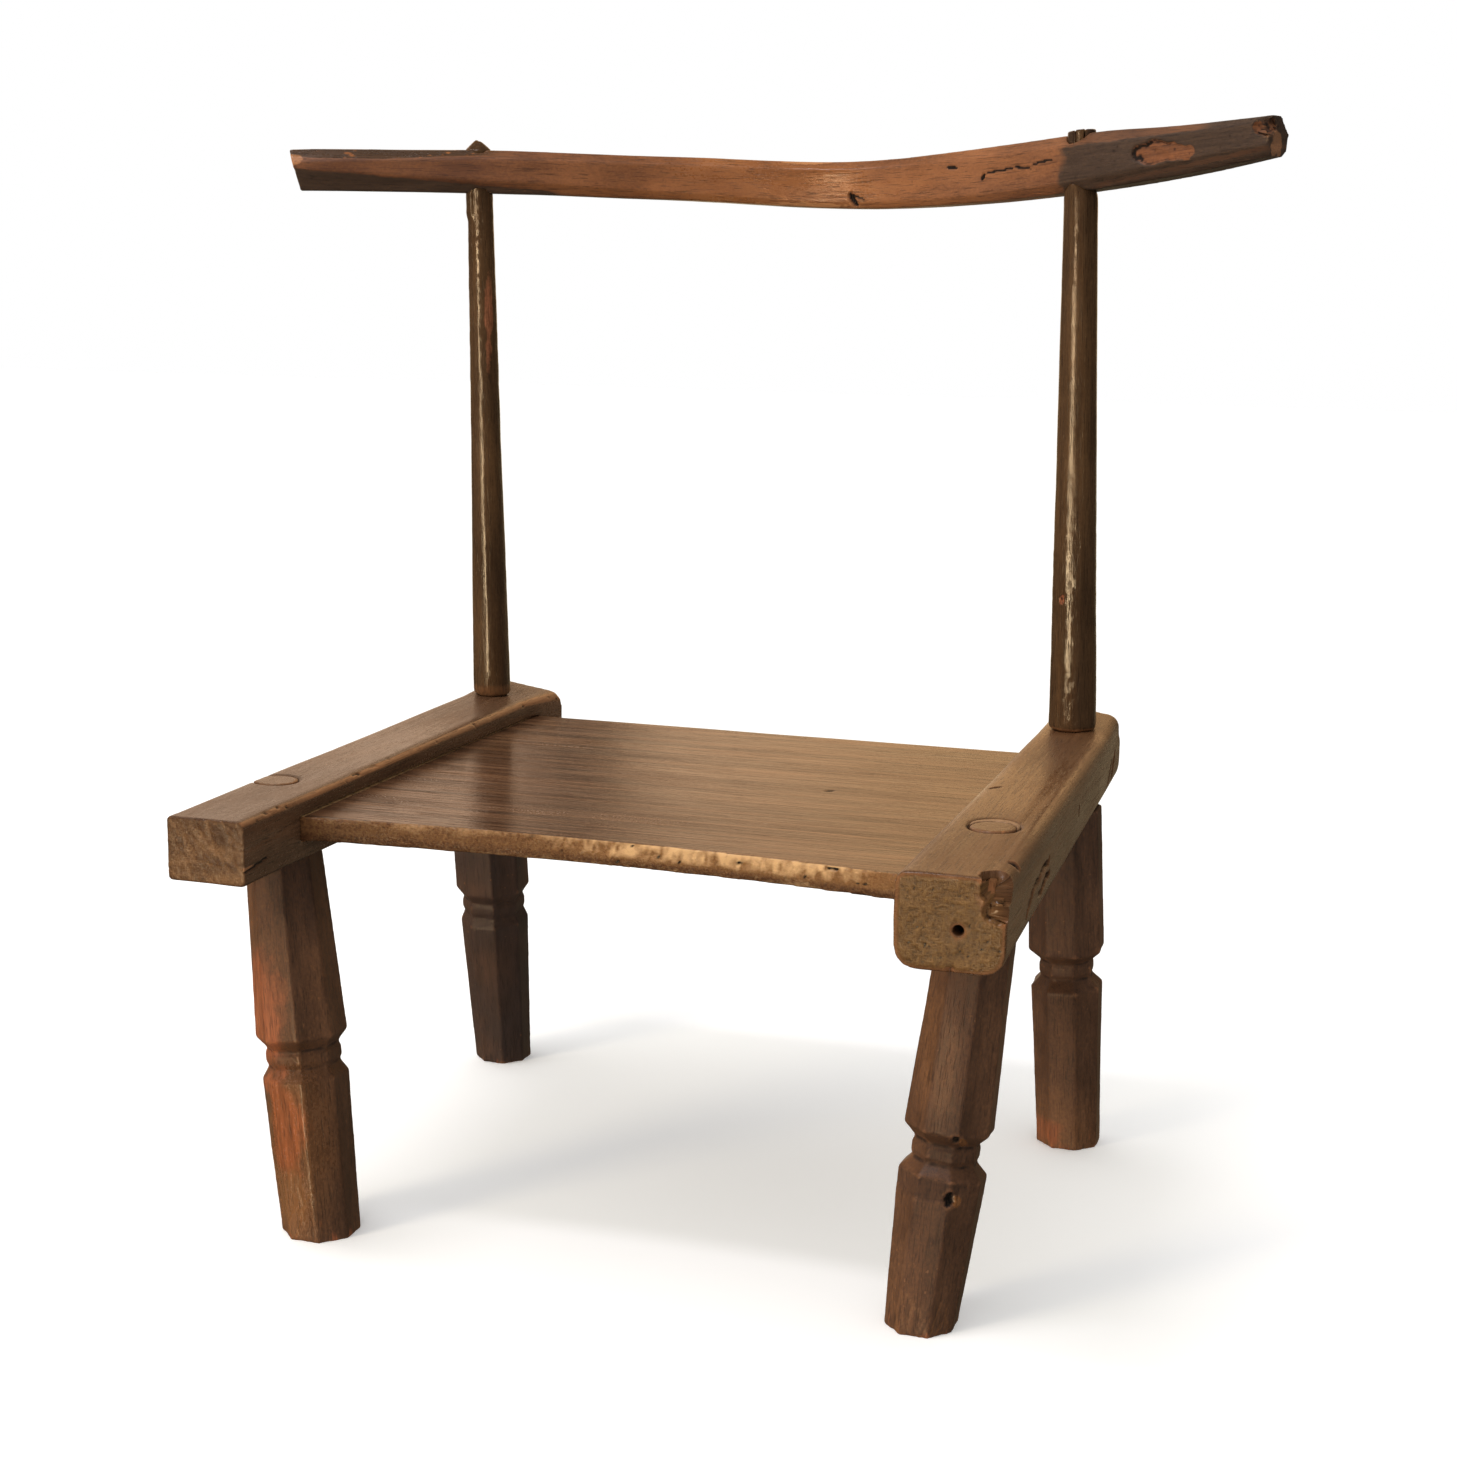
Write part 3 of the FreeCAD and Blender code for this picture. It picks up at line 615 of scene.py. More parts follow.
def squarer(c, radius, slices=60, beside=3):
    """Fill out a rail's round top outer corner, slice by slice along it. Each slice's height and
    width are the mean of its own and of those beside it."""
    along = c.points[:, 1]
    edges = np.linspace(along.min(), along.max(), slices + 1)
    middles = 0.5 * (edges[1:] + edges[:-1])
    bins = np.clip(np.digitize(along, edges) - 1, 0, slices - 1)
    offsets = []
    for axis in (0, 2):
        high = np.full(slices, -np.inf)
        np.maximum.at(high, bins, c.points[:, axis])
        padded = np.pad(high, beside, mode="edge")
        high = np.convolve(padded, np.ones(2 * beside + 1) / (2 * beside + 1), mode="valid")
        offsets.append(c.points[:, axis] - np.interp(along, middles, high) + radius)
    out, up = offsets
    reach = np.hypot(out, up) + 1e-9
    growth = ((out / reach) ** SQUARENESS + (up / reach) ** SQUARENESS) ** (-1 / SQUARENESS) - 1
    growth = np.where((out > 0) & (up > 0), growth, 0.0)
    c.points[:, 0] += growth * out
    c.points[:, 2] += growth * up
    c.update()


def right_rail():
    """Crowned on top, with broken golden end grain, a scooped corner and old cracks."""
    nail_hole, half_width, crown, corner = (36, 0, 24.2), 31, 0.8 * MM, 17 * MM
    c = Carving("right_side_rail", RAIL_VOXEL, fine=[((0, 0, 0), (-0.1, RIGHT_END_DEPTH, -0.1))])
    from_nail = np.linalg.norm((c.points - c.spot(*nail_hole)) * (1, 0, 1), axis=1)
    c.soften(16, step(5 * MM, 9 * MM, from_nail))
    across = (c.points[:, 0] - c.spot(half_width, 0, 0)[0]) / (half_width * MM)
    c.push(-crown * np.abs(across) ** 3 * c.faces(UP, 0.3), UP)
    squarer(c, corner)
    grain = straight_grain(c.points, 1)
    hewn(c, grain, ((40, 40, 110), 0.8, 41), ((6, 6, 50), 0.07, 42))

    cut_end = c.faces(FRONT, 0.75)
    broken = c.inner(cut_end, 22)
    c.pits(broken, 0.7 * MM, 43)
    c.mark("worn", 0.35 * cut_end * (1 - broken))
    c.mark("tone", 0.5 * cut_end * (1 - broken))

    # A scoop with a scalloped rim is broken out of the front's top outer corner.
    hollow = c.bowl((-5, 8, -10), 13, 0.1, 44)
    bites, first_turn, turn_between, rim_radius = 6, 75, 22, 11.5
    for number in range(bites):
        turn = math.radians(first_turn + turn_between * number)
        bite = (-3 + rim_radius * math.cos(turn), 7 + rim_radius * math.sin(turn), -5)
        hollow = np.maximum(hollow, c.bowl(bite, 3.6, 0.15, 45 + number))
    c.push(0.5 * MM * hollow * c.noise(2.5, 53, 2))
    c.mark("tone", 0.5 * hollow)
    c.mark("dirt", 0.35 * hollow * step(0.1, 0.8, c.noise(4, 54, 2)))
    chip = c.bowl((-6, 1, -25), 6.5, 0.3, 55, (1.2, 0.6, 1.0))
    c.mark("tone", 0.9 * chip)
    c.mark("worn", -0.6 * chip)
    c.mark("endgrain", -np.maximum(chip, hollow))
    nick = c.bowl((32, 0, 1), 2.6, 0.3, 56)
    c.mark("worn", nick)

    # A gouge and a nick on top, and cracks in the outer side.
    c.splits([((-7, 41, -6), (-3, 46, -7), UP, 2.6, 2.6, 0.3, 57),
              ((9, 222.5, -5), (15.5, 230, -5), UP, 1.3, 1.6, 0.3, 60),
              ((-2, 66, 17), (-2, 94, 28.5), RIGHT, 2.1, 3.2, 1.8, 63),
              ((-2, 90, 27.5), (-2, 152, 31.5), RIGHT, 2.1, 3.2, 1.8, 66),
              ((-2, 110, 18), (-2, 153, 24), RIGHT, 1.9, 2.6, 2.0, 69),
              ((-4, 269.5, 31), (-4, 272.5, 37), RIGHT, 1.4, 2.2, 0.2, 72),
              ((-4, 440, 21), (-4, 457, 38.5), RIGHT, 2.9, 6, 0.4, 75),
              ((-4, 416, 17), (-4, 442, 35.5), RIGHT, 1.2, 2.5, 0.4, 78)])

    c.ring((31, 120, -6), 15, UP, seed=81)
    # Painted reflection: the top is darker where the post's dark reflection falls, and at the
    # front.
    c.mark("tone", -0.3 * c.patch((34, 350, 0), (24, 75, 1), UP, 0.3, 30, 82, 0.8))
    c.mark("tone", -0.3 * c.patch((24, 60, 0), (40, 80, 1), UP, 0.4, 40, 83, 0.8))
    arris = step(0.2, 0.5, -c.flat[:, 0]) * step(0.2, 0.5, c.flat[:, 2])
    c.mark("worn", arris * (0.1 + 0.3 * c.noise((9, 30, 9), 84, 3)))
    c.wear_edges(worn=0.7, dirt=0.7 * (1 - hollow), seed=85)
    c.finish(grain, MATERIALS["right_rail"], "rail_wood")


# ---- Seat board ----

def seat():
    """A glossy board with its grain from side to side, and a chipped round front edge."""
    c = Carving("seat_board", SEAT_VOXEL, fine=[((4, 0, 0), (-4, SEAT_EDGE_DEPTH, -0.1))])
    grain = straight_grain(c.points, 0)
    hewn(c, grain, ((30, 30, 110), 0.3, 91), ((10, 10, 45), 0.05, 92))

    # The front edge is nicked and rippled and dull at the left. At the right its upper half carries
    # a
    # painted gold highlight: pale worn colour in thin vertical glints and a lighter tone.
    front = c.faces(FRONT, 0.35)
    height = c.points[:, 2] - c.low[2]
    c.push(front * 0.55 * MM * c.noise((16, 9, 5), 93, 3))
    nicks = step(0.35, 0.8, c.noise((5, 6, 3.5), 94, 2))
    right_part = step(-60 * MM, 20 * MM, c.points[:, 0])
    c.push(-0.9 * MM * front * nicks * (0.25 + right_part))
    c.mark("dirt", 0.45 * front * nicks)
    worn = step(-0.4, 0.5, c.noise((40, 9, 9), 95, 3))
    # A painted highlight, not polish: where the edge takes the pale gold colour.
    painted_highlight = right_part * step(190 * MM, 140 * MM, c.points[:, 0])
    glints = c.noise((2.6, 60, 5), 87, 2)
    upper = front * step(7 * MM, 11 * MM, height)
    c.mark("worn", upper * (0.12 * worn + painted_highlight * (0.42 + 0.7 * glints)))
    c.mark("tone", -0.4 * front * step(10 * MM, 5 * MM, height))
    spots = step(0.35, 0.7, c.noise((9, 9, 5), 88, 2))
    c.mark("tone", -0.7 * front * spots * (1 - right_part))
    c.mark("endgrain", front)
    ripples = c.noise((2.2, 60, 7), 89, 2)
    c.push(0.22 * MM * front * (0.3 + 0.7 * right_part) * ripples)
    # Pale flecks: wear, and at the right painted glints of the highlight.
    flecks = step(0.4, 0.8, c.noise((3, 3, 1.6), 90, 2))
    c.mark("worn", (0.12 + 0.25 * painted_highlight) * front * flecks)
    # Painted highlight: the upper half of the right part is lighter.
    c.mark("tone", 0.5 * front * right_part * step(5 * MM, 9 * MM, height))
    chip = c.bowl((186, 0, -0.5), 5, 0.3, 96, (2.0, 0.8, 0.7))
    c.mark("cut", 0.9 * chip)
    end = c.patch((12, 0, 8), (15, 4, 12), FRONT, 0.3, 8, 97)
    c.mark("endgrain", 0.7 * end)
    c.mark("worn", -0.6 * end)

    # On top: a small ring, a nick, broad bands of tone and a pale line along the left joint.
    c.ring((104, 8, -0.5), 5, UP, 1.0, 0.15, 98)
    c.splits([((296, 205, -0.5), (300, 207.5, -0.5), UP, 1.6, 0.8, 0.2, 99)])
    c.mark("tone", 0.35 * c.faces(UP) * c.noise((260, 26, 30), 100, 2))
    joint = step(2.2 * MM, 0.7 * MM, np.abs(c.points[:, 0] - c.low[0] - 8 * MM))
    c.mark("worn", 0.7 * joint * c.faces(UP))
    # Worn ridges take the pale gold colour: wear, and a painted highlight along the arrises.
    c.wear_edges(worn=0.5, seed=101)
    c.finish(grain, MATERIALS["seat"], "seat_wood")


# ---- Legs ----

def leg_start(node, seed):
    """What every leg has: knife-cut facets, worn ridges, a bruised foot and dirty grooves."""
    c = Carving(node, LEG_VOXEL, rounding=2)
    grain = axial_grain(c.points, *axis_frame(c.points))
    hewn(c, grain, ((16, 16, 55), 0.45, seed), ((4, 4, 22), 0.12, seed + 1))
    height = c.points[:, 2] - c.low[2]
    foot = step(26 * MM, 4 * MM, height)
    frayed = c.noise((4, 4, 18), seed + 2, 3)
    c.push(0.5 * MM * foot * frayed)
    c.mark("cut", foot * step(0.0, 0.7, frayed) * 0.6)
    c.mark("dirt", foot * step(0.25, 0.8, -frayed) * 0.6)
    specks = step(0.5, 0.75, c.noise(2.6, seed + 3, 2))
    c.mark("worn", 0.55 * specks * step(-0.1, 0.5, c.noise(40, seed + 4)))
    c.mark("endgrain", c.faces(UP, 0.7) * step(0.97, 0.99, height / height.max()))
    return c, grain


def front_depth(c, x, z):
    """How far the front surface lies in from the front of the box at x and z, in mm."""
    place = c.spot(x, 0, z)
    beside = np.hypot(c.points[:, 0] - place[0], c.points[:, 2] - place[2]) < 2 * MM
    return (c.points[beside, 1].min() - c.low[1]) / MM


def leg_end(c, grain, seed):
    """Wear the edges, keep the foot above the floor and hand the leg over."""
    c.wear_edges(worn=0.75, dirt=0.8, seed=seed)
    c.points[:, 2] = np.maximum(c.points[:, 2], 0.0)
    c.finish(grain, MATERIALS["leg"], "leg_wood")


def front_left_leg():
    """Rubbed to bare reddish wood on the outer side."""
    c, grain = leg_start("front_left_leg", 110)
    bare = (((20, 20, 150), (20, 20, 40), 115), ((22, 20, 140), (10, 20, 18), 116),
            ((38, 20, 76), (15, 20, 34), 117), ((26, 20, 100), (9, 20, 6), 118))
    for centre, size, seed in bare:
        c.mark("cut", 0.62 * c.patch(centre, size, FRONT, 0.55, 14, seed, 0.5))
    c.mark("tone", 0.7 * c.patch((44, 20, 60), (24, 30, 60), FRONT, 0.3, 20, 119, 0.5))
    c.scratches((26, 0, 6), (-22, 1, 42), FRONT, 88, 12, 26, 120)
    c.mark("cut", c.bowl((36, 22, 148), 3.2, 0.4, 121, (1.6, 1.0, 0.7)))
    c.mark("tone", -0.5 * c.patch((50, 20, 250), (30, 30, 45), FRONT, 0.3, 20, 122, 0.5))
    leg_end(c, grain, 123)


def front_right_leg():
    """Brown, with two small chips and a frayed foot."""
    c, grain = leg_start("front_right_leg", 130)
    # Painted shade: the front facets are darker and rougher, against the sheen of the bright slot
    # in front.
    c.mark("tone", -0.3 * c.faces(FRONT, 0.8))
    for x, z, radius, seed in ((41, 122, 3.0, 135), (39.5, 87, 4.0, 136)):
        y = front_depth(c, x, z)
        c.mark("dirt", c.bowl((x, y, z), radius, 0.35, seed, (0.8, 1.3, 1.1)))
        lip = (x + 3.4, y, z - 1.5)
        c.mark("tone", 1.2 * c.patch(lip, (2.2, 9, 4), FRONT, 0.3, 4, seed + 2))
    c.mark("tone", 0.3 * c.patch((28, 20, 168), (13, 30, 36), FRONT, 0.3, 14, 139, 0.4))
    shelf = c.patch((26, 20, 92), (24, 30, 7), FRONT, 0.5, 9, 140)
    c.push(-0.8 * MM * shelf)
    c.mark("tone", -0.3 * shelf)
    c.scratches((6, 0, 1), (40, 1, 20), FRONT, 84, 22, 16, 141)
    leg_end(c, grain, 142)


def rear_left_leg():
    """Almost black."""
    c, grain = leg_start("rear_left_leg", 150)
    c.mark("stain", 0.55 + 0.25 * c.noise(30, 155, 2))
    leg_end(c, grain, 156)


def rear_right_leg():
    """Dark above, lighter and warmer towards the foot."""
    c, grain = leg_start("rear_right_leg", 160)
    height = (c.points[:, 2] - c.low[2]) / MM
    c.mark("tone", -0.3 * step(120, 220, height) + 0.35 * step(60, 10, height))
    c.mark("cut", 0.5 * c.patch((20, 20, 12), (18, 30, 12), FRONT, 0.5, 12, 165, 0.5))
    leg_end(c, grain, 166)


# ---- Posts ----

def post_start(node, seed, few, many):
    """A glossy post with small knife dimples along its facets. Their depth grows from the share
    of the height few to the share many."""
    c = Carving(node, POST_VOXEL, rounding=4)
    share = (c.points[:, 2] - c.low[2]) / (c.high[2] - c.low[2])
    c.soften(40, step(0.02, 0.05, share) * step(0.94, 0.9, share))
    grain = axial_grain(c.points, *axis_frame(c.points, 0.2, 0.8))
    hewn(c, grain, ((14, 14, 70), 0.3, seed))
    dimples = noise(grain, (6, 6, 7), seed + 1, 2)
    c.push(0.28 * MM * dimples * (0.3 + 0.7 * step(few, many, share)))
    c.mark("tone", 0.4 * noise(grain, (9, 9, 90), seed + 2, 2))
    return c, grain, share


def post_end(c, grain, seed):
    """Wear the edges and hand the post over."""
    c.wear_edges(worn=0.5, dirt=0.6, seed=seed)
    c.finish(grain, MATERIALS["post"], "post_wood")


def left_post():
    """Hammered towards the top, with a shoulder there and a bare reddish streak."""
    c, grain, share = post_start("left_back_post", 170, 0.5, 0.62)
    shoulder = step(0.865, 0.885, share) * step(0.03, 0.4, -c.flat[:, 0])
    c.push(1.3 * MM * shoulder)
    c.mark("cut", 0.42 * c.patch((18.6, 0, -134), (2.4, 20, 34), FRONT, 0.5, 12, 174, 0.4))
    c.mark("worn", 0.5 * step(0.045, 0.062, share) * step(0.085, 0.07, share))
    post_end(c, grain, 175)


def right_post():
    """Hammered towards the foot, with one small chip and a dark top."""
    c, grain, share = post_start("right_back_post", 180, 0.52, 0.3)
    chip = c.bowl((12.8, 2, 122.5), 2.8, 0.4, 184, (1.0, 1.0, 1.5))
    c.mark("cut", 1.3 * chip)
    band = step(0.045, 0.05, share) * step(0.068, 0.06, share)
    c.mark("worn", 0.9 * band * c.faces(FRONT, 0.2))
    c.mark("stain", 0.5 * step(0.9, 1.0, share))
    post_end(c, grain, 185)


# ---- Crest rail ----

def crest():
    """A bowed rail, orange-brown in the middle and dark at both ends."""
    c = Carving("crest_rail", CREST_VOXEL, fine=[((-125, 0, 0), (-0.1, 40, -0.1)),
                                                 ((0, 0, 0), (30, 40, -0.1))])
    grain = bowed_grain(c.points)
    hewn(c, grain, ((20, 20, 90), 0.5, 191), ((6, 6, 16), 0.08, 192))
    x = (c.points[:, 0] - c.low[0]) / MM
    z = (c.points[:, 2] - c.low[2]) / MM
    ragged = c.noise(7, 193, 3)
    front = c.faces(FRONT, 0.15)

    # Left end: an orange band over a lower facet painted dark: stain, with painted shade as on a
    # facet that faces down. On top, a bevel painted grey and dark: stain, with a painted reflection
    # of the light above.
    facet_top, facet_fall, facet_end = 21.5, 0.072, (192, 178)
    border = facet_top - facet_fall * x + 0.9 * ragged
    facet_stain_and_shade = step(1.5, -1.3, z - border) * step(*facet_end, x + 6 * ragged)
    c.mark("stain", facet_stain_and_shade)
    c.push(-0.5 * MM * facet_stain_and_shade * front)
    bevel_foot = 28.8 + 4.5 * step(50, 140, x)
    bevel = step(-0.8, 0.8, z - bevel_foot + 0.8 * ragged) * step(175, 120, x + 12 * ragged)
    c.mark("stain", 0.75 * bevel)
    c.mark("tone", 0.9 * bevel)
    # Pale flecks on the bevel: painted highlights of that reflection.
    flecks = step(0.35, 0.7, c.noise((4, 4, 2), 194, 3))
    c.mark("stain", -0.7 * bevel * flecks)
    c.mark("worn", 0.6 * c.patch((10, 0, 27), (8, 30, 4), FRONT, 0.6, 5, 195))

    # Right end: dark from just inside the post, with a rubbed edge below and, above, a paler band
    # along the top edge that is a painted highlight.
    lower_edge = 13.6 + 0.175 * (x - 596)
    upper_edge = 42.5 + 0.0735 * (x - 570)
    dark_end = step(562, 578, x + 8 * ragged)
    rubbed = step(2.6, 0.9, np.abs(z - lower_edge + ragged)) * step(580, 600, x)
    # Painted highlight: the stain thins along the top edge.
    top_edge_highlight = step(-3.6, -2.2, z - upper_edge + 1.2 * ragged) * step(690, 660, x)
    c.mark("stain", dark_end * (1 - 0.5 * rubbed) * (1 - 0.65 * top_edge_highlight))
    c.mark("tone", -1.4 * rubbed * dark_end)
    c.mark("dirt", 0.24 * dark_end * (1 - rubbed) * (1 - top_edge_highlight))

    # A torn gouge shows bare orange wood, deepest at its left end.
    gouge = c.patch((640, 20, 34), (23, 40, 7.5), FRONT, 0.42, 10, 197)
    deep = step(664, 612, x)
    c.push(-MM * gouge * (0.6 + 2.4 * deep) * (0.8 + 0.4 * c.noise(5, 198, 2)))
    c.mark("stain", -gouge)
    c.mark("cut", 0.9 * gouge)
    torn_edge = c.patch((619.5, 20, 34), (2.4, 40, 7), FRONT, 0.5, 5, 199)
    c.mark("dirt", 0.9 * torn_edge * gouge)

    # The tip is broken hollow, with a pale patch below it that is a painted highlight.
    hollow = c.bowl((-14, 4, -7), 7, 0.3, 201, (1.5, 0.7, 0.8))
    hollow = np.maximum(hollow, c.bowl((-19, 3, -9), 4, 0.3, 202))
    c.mark("stain", -0.9 * hollow)
    c.mark("cut", 0.75 * hollow)
    c.mark("dirt", 0.7 * hollow * step(0.1, 0.6, c.noise(4, 203, 2)))
    # Painted highlight below the hollow, in the worn colour.
    c.mark("worn", 0.5 * c.patch((-7, 0, -20), (3, 30, 9), FRONT, 0.5, 6, 204))

    # Dents, nicks and an angular crack along the middle, with polished lower edges.
    c.splits([((506, 50, 19), (508, 50, 23), FRONT, 1.5, 1.6, 0.2, 205),
              ((507, 50, 23.5), (531, 50, 27), FRONT, 0.9, 0.9, 0.8, 208, 0.8),
              ((531, 50, 27), (546, 50, 26), FRONT, 0.9, 0.9, 0.8, 211, 0.8),
              ((546, 50, 28.5), (562, 50, 32), FRONT, 0.9, 0.9, 0.4, 214, 0.8),
              ((478, 50, 28.5), (486, 50, 28), FRONT, 1.2, 1.2, 0.2, 217),
              ((400, 60, 10.5), (406, 60, 1), FRONT, 2.0, 3.0, 0.3, 220),
              ((400, 60, 10.5), (412, 60, 6), FRONT, 0.9, 0.9, 0.3, 223)])
    c.mark("worn", c.patch((357, 60, 1.5), (34, 60, 2.6), FRONT, 0.45, 7, 226))
    c.mark("worn", c.patch((366, 60, -21.5), (22, 60, 1.6), FRONT, 0.45, 7, 227))
    c.splits([((262, 100, -20.8), (304, 100, -22.5), UP, 3.0, 2.0, 0.6, 228)])
    c.mark("cut", 1.2 * c.bowl((136.5, 31, 9.5), 2.0, 0.3, 231, (1.5, 1.0, 0.8)))
    spots = step(0.45, 0.75, c.noise(3.4, 232, 2)) * front
    c.mark("dirt", 0.35 * spots)
    c.mark("tone", 0.45 * c.noise((60, 60, 14), 233, 3))
    c.mark("tone", -0.55 * step(400, 540, x) - 0.8 * step(310, 120, x))
    c.wear_edges(worn=0.55, dirt=0.7, seed=234)
    c.finish(grain, MATERIALS["crest"], "crest_wood")


def wedge(node, material, slot, seed):
    """A thin split wedge."""
    c = Carving(node, WEDGE_VOXEL, rounding=2)
    grain = straight_grain(c.points, 2)
    c.push(0.12 * MM * noise(grain, 5, seed, 2))
    c.wear_edges(rounds=8, seed=seed + 1)
    c.finish(grain, MATERIALS[material], slot)


for carve in (left_rail, right_rail, seat, front_left_leg, front_right_leg, rear_left_leg,
              rear_right_leg, left_post, right_post, crest):
    carve()
wedge("right_tenon_wedge", "wedge", "wedge_wood", 241)
wedge("right_post_wedge", "post", "post_wood", 244)


# ---- Floor ----

FLOOR_HALF = 12.0
FLOOR_COLOUR, FLOOR_ROUGHNESS = (0.93, 0.95, 0.98, 1), 0.95
FLOOR_GLOW = 0.2
WHITE = (1, 1, 1, 1)


def floor_paint():
    """Pale matt paint that glows a little, so that the floor comes out as white as the air."""
    material, shader = new_material("floor_paint")
    shader.inputs["Base Color"].default_value = FLOOR_COLOUR
    shader.inputs["Roughness"].default_value = FLOOR_ROUGHNESS
    shader.inputs["Emission Color"].default_value = WHITE
    shader.inputs["Emission Strength"].default_value = FLOOR_GLOW
    return material


def stage():
    """A large pale floor under the chair. It takes shadows and lights nothing."""
    mesh = bpy.data.meshes.new("floor")
    turns = ((-1, -1), (1, -1), (1, 1), (-1, 1))
    mesh.from_pydata([(x * FLOOR_HALF, y * FLOOR_HALF, 0) for x, y in turns], [], [(0, 1, 2, 3)])
    mesh.materials.append(floor_paint())
    floor = bpy.data.objects.new("floor", mesh)
    floor.visible_diffuse = False
    floor.visible_glossy = False
    bpy.context.collection.objects.link(floor)


# ---- Light ----

# Each lamp's place, the point that it faces, its width and height, power and colour.
SOFTBOX = ((-1.7, -2.1, 1.0), (0, 0, 0.4), (0.6, 1.9), 33, (1.0, 0.85, 0.6))
OVERHEAD = ((-0.7, -0.85, 2.7), (-0.7, -0.8, 0.3), (1.0, 0.25), 16, (1.0, 0.94, 0.96))

# Matt wood is lit by air that brightens towards the upper left.
AIR_BRIGHTEST = (-0.72, -0.22, 0.66)
AIR_DARK, AIR_BRIGHT = 0.48, 1.4
AIR_COLOUR = (1.0, 0.97, 0.92, 1)

# Glossy wood mirrors a warm wall behind the chair, with a narrow dark pillar in it, a low bright
# slot in front and a faint glow low down at the back. A strip is where the direction's share
# across it, either way, is under its half width; its sides fade out up to the second number.
WALL_MIDDLE, WALL_REACH = (-0.3, 0.9, 0.31), (0.78, 0.93)
WALL_DARK, WALL_BRIGHT = 0.07, 1.0
WALL_LEFT, WALL_RIGHT = (1.06, 0.75, 0.53, 1), (0.98, 0.57, 0.26, 1)
PILLAR_ACROSS, PILLAR_HALF, PILLAR_SHARE = (0.932, 0.363, 0.0), (0.014, 0.034), 0.05
SLOT_ACROSS, SLOT_HALF, SLOT_LIGHT = (0.847, -0.259, 0.464), (0.045, 0.065), 20.0
SLOT_LIMITS = (((-0.2, -0.97, -0.15), 0.2, 0.3), (UP, 0.08, 0.03), (UP, -0.36, -0.28))
LOW_GLOW, LOW_REACH, LOW_LIGHT = (0.15, 0.96, -0.22), (0.93, 0.99), 0.11
LOW_COLOUR = (1.0, 0.74, 0.43, 1)


def area_light(name, place, target, size, energy, colour):
    """A rectangular lamp that faces a point."""
    data = bpy.data.lights.new(name, "AREA")
    data.shape = "RECTANGLE"
    data.size, data.size_y = size
    data.energy = energy
    data.color = colour
    lamp = bpy.data.objects.new(name, data)
    lamp.location = place
    lamp.rotation_euler = (Vector(target) - Vector(place)).to_track_quat("-Z", "Y").to_euler()
    bpy.context.collection.objects.link(lamp)
    return lamp


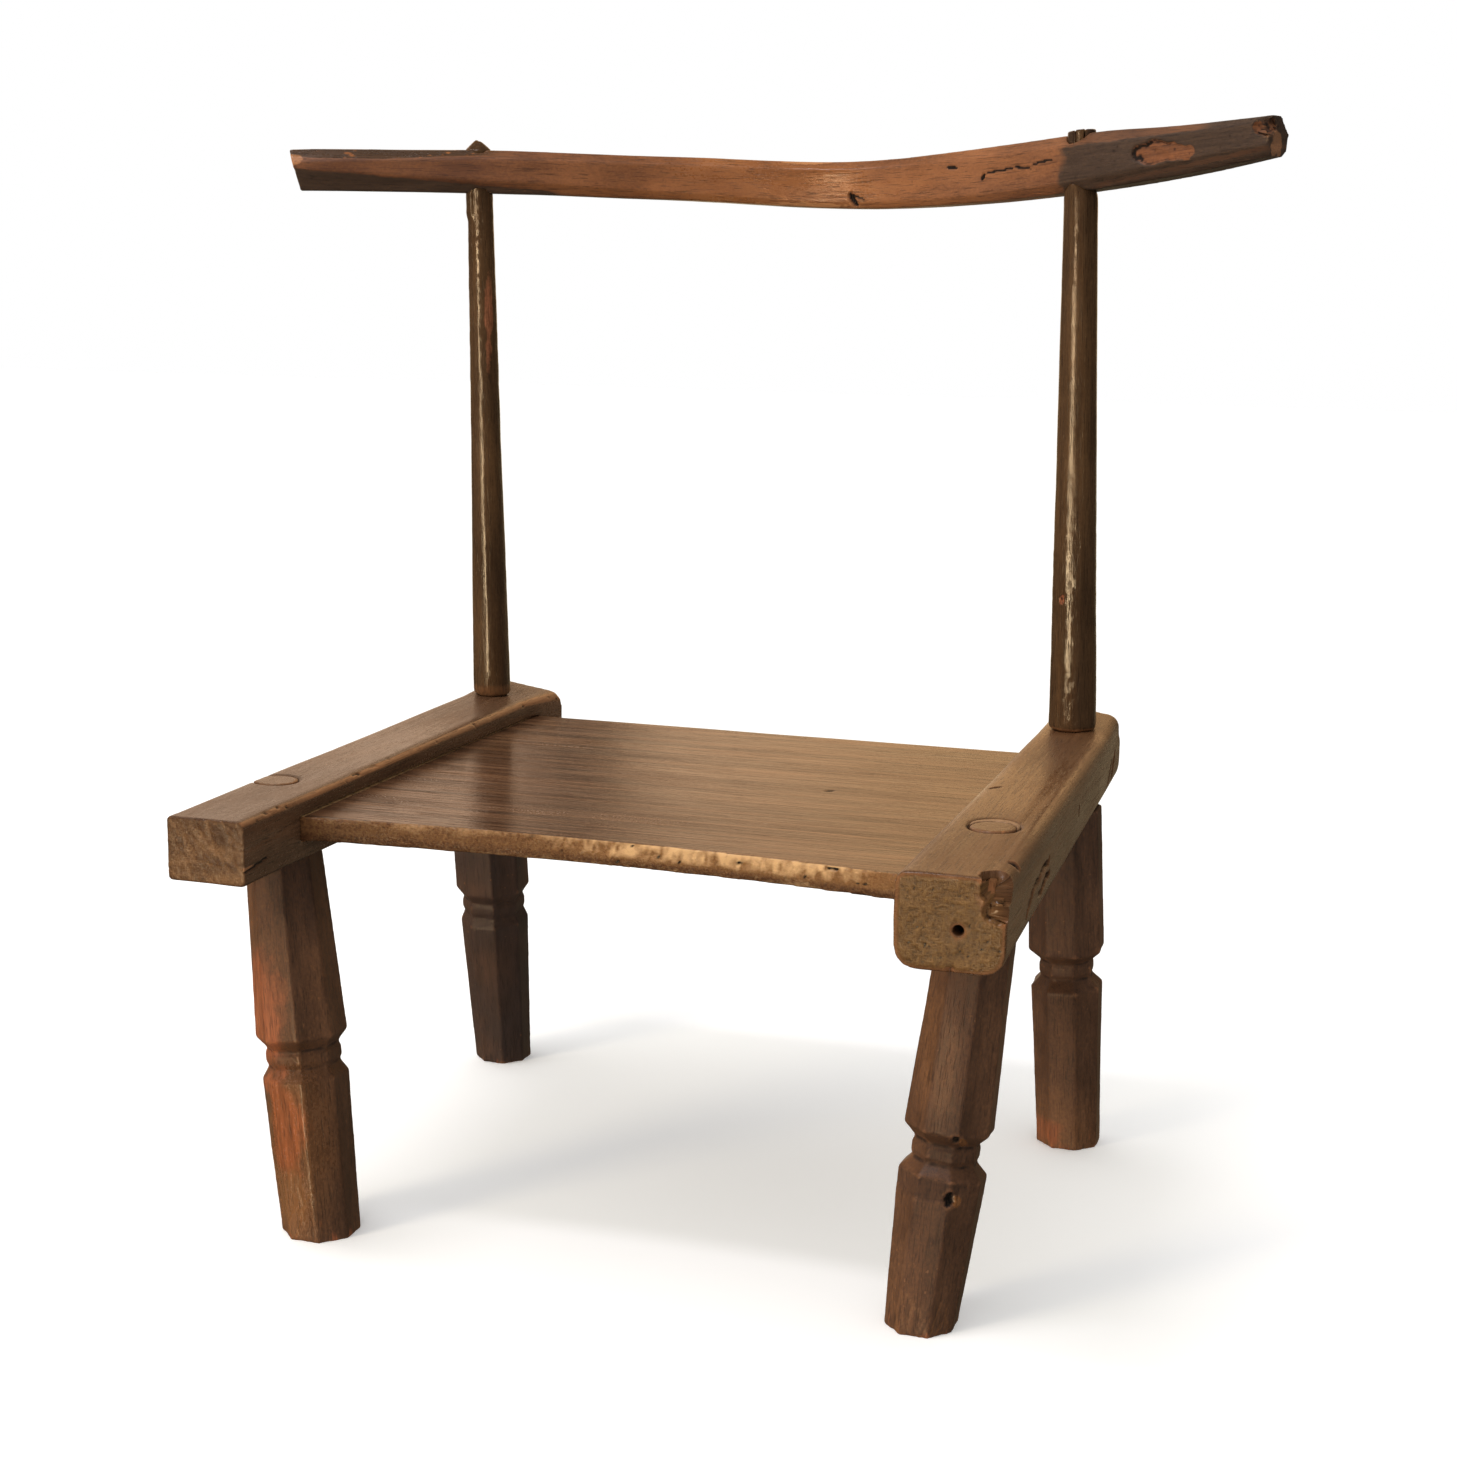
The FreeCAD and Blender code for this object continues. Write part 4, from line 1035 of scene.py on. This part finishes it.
class Surround(Nodes):
    """The studio round the chair. Its nodes read the direction that a ray looks in."""

    def __init__(self, world):
        super().__init__(world.node_tree)
        self.toward = self.add("ShaderNodeTexCoord").outputs["Generated"]
        self.ray = self.add("ShaderNodeLightPath").outputs
        background = self.tree.nodes["Background"]
        lit = self.between(self.ray["Is Glossy Ray"], self.air(), self.mirrored())
        lit = self.between(self.ray["Is Camera Ray"], lit, 1.0)
        self.feed(background.inputs["Strength"], lit)
        self.feed(background.inputs["Color"], self.colour())

    def share(self, direction):
        """How far a ray looks in a direction, from -1 to 1."""
        return self.add("ShaderNodeVectorMath", {0: self.toward, 1: direction},
                        operation="DOT_PRODUCT").outputs["Value"]

    def glow(self, direction, low, high, dark=0.0, bright=1.0):
        """Light that grows towards a direction."""
        return self.ramp(self.share(direction), low, high, dark, bright)

    def strip(self, across, half, inside, outside):
        """A narrow band of light or dark, given by the direction across it."""
        return self.ramp(self.math("ABSOLUTE", self.share(across)), *half, inside, outside)

    def between(self, share, first, second):
        """A number between two others."""
        return self.add("ShaderNodeMix", {0: share, 2: first, 3: second}).outputs[0]

    def air(self):
        """The light that falls on matt wood."""
        return self.glow(AIR_BRIGHTEST, -0.2, 1.0, AIR_DARK, AIR_BRIGHT)

    def mirrored(self):
        """The light that glossy wood mirrors."""
        wall = self.glow(WALL_MIDDLE, *WALL_REACH, WALL_DARK, WALL_BRIGHT)
        pillar = self.strip(PILLAR_ACROSS, PILLAR_HALF, PILLAR_SHARE, 1.0)
        wall = self.math("MULTIPLY", wall, pillar)
        slot = self.strip(SLOT_ACROSS, SLOT_HALF, SLOT_LIGHT, 0.0)
        for direction, low, high in SLOT_LIMITS:
            slot = self.math("MULTIPLY", slot, self.glow(direction, low, high))
        low_glow = self.glow(LOW_GLOW, *LOW_REACH, 0.0, LOW_LIGHT)
        return self.math("ADD", self.math("ADD", wall, slot), low_glow)

    def colour(self):
        """White behind the chair, and warm where wood mirrors the wall or anything low."""
        wall = self.mix(self.glow(RIGHT, -0.45, -0.19), WALL_LEFT, WALL_RIGHT)
        mirrored = self.mix(self.glow(UP, -0.05, 0.08), LOW_COLOUR, wall)
        lit = self.mix(self.ray["Is Glossy Ray"], AIR_COLOUR, mirrored)
        return self.mix(self.ray["Is Camera Ray"], lit, WHITE)


def studio():
    """A tall warm softbox at the left, a small lamp overhead and the surround."""
    area_light("softbox", *SOFTBOX).visible_glossy = False
    area_light("overhead", *OVERHEAD)
    world = bpy.data.worlds.new("studio")
    world.use_nodes = True
    Surround(world)
    bpy.context.scene.world = world
    bpy.context.scene.view_settings.view_transform = "Standard"


# ---- Camera ----

CAMERA_PLACE = (0.4657, -1.4240, 0.6135)
CAMERA_YAW, CAMERA_PITCH, CAMERA_ROLL = (math.radians(angle) for angle in (16.8, 10.9, 1.0))
CAMERA_LENS, CAMERA_SENSOR, CAMERA_FAR = 55.44, 36.0, 50.0
CAMERA_SHIFT = (-0.0141, -0.0042)


def camera():
    """A camera in front of the chair and to its right. It looks a little to the left and down."""
    level = Vector((math.cos(CAMERA_YAW), math.sin(CAMERA_YAW), 0.0))
    ahead = Vector((-math.sin(CAMERA_YAW), math.cos(CAMERA_YAW), 0.0))
    forward = ahead * math.cos(CAMERA_PITCH) - Vector(UP) * math.sin(CAMERA_PITCH)
    upward = level.cross(forward)
    right = math.cos(CAMERA_ROLL) * level + math.sin(CAMERA_ROLL) * upward
    top = math.cos(CAMERA_ROLL) * upward - math.sin(CAMERA_ROLL) * level
    data = bpy.data.cameras.new("camera")
    data.sensor_width = CAMERA_SENSOR
    data.lens = CAMERA_LENS
    data.shift_x, data.shift_y = CAMERA_SHIFT
    data.clip_end = CAMERA_FAR
    eye = bpy.data.objects.new("camera", data)
    turn = Matrix((right, top, -forward)).transposed().to_4x4()
    eye.matrix_world = Matrix.Translation(CAMERA_PLACE) @ turn
    bpy.context.collection.objects.link(eye)
    bpy.context.scene.camera = eye


stage()
studio()
camera()
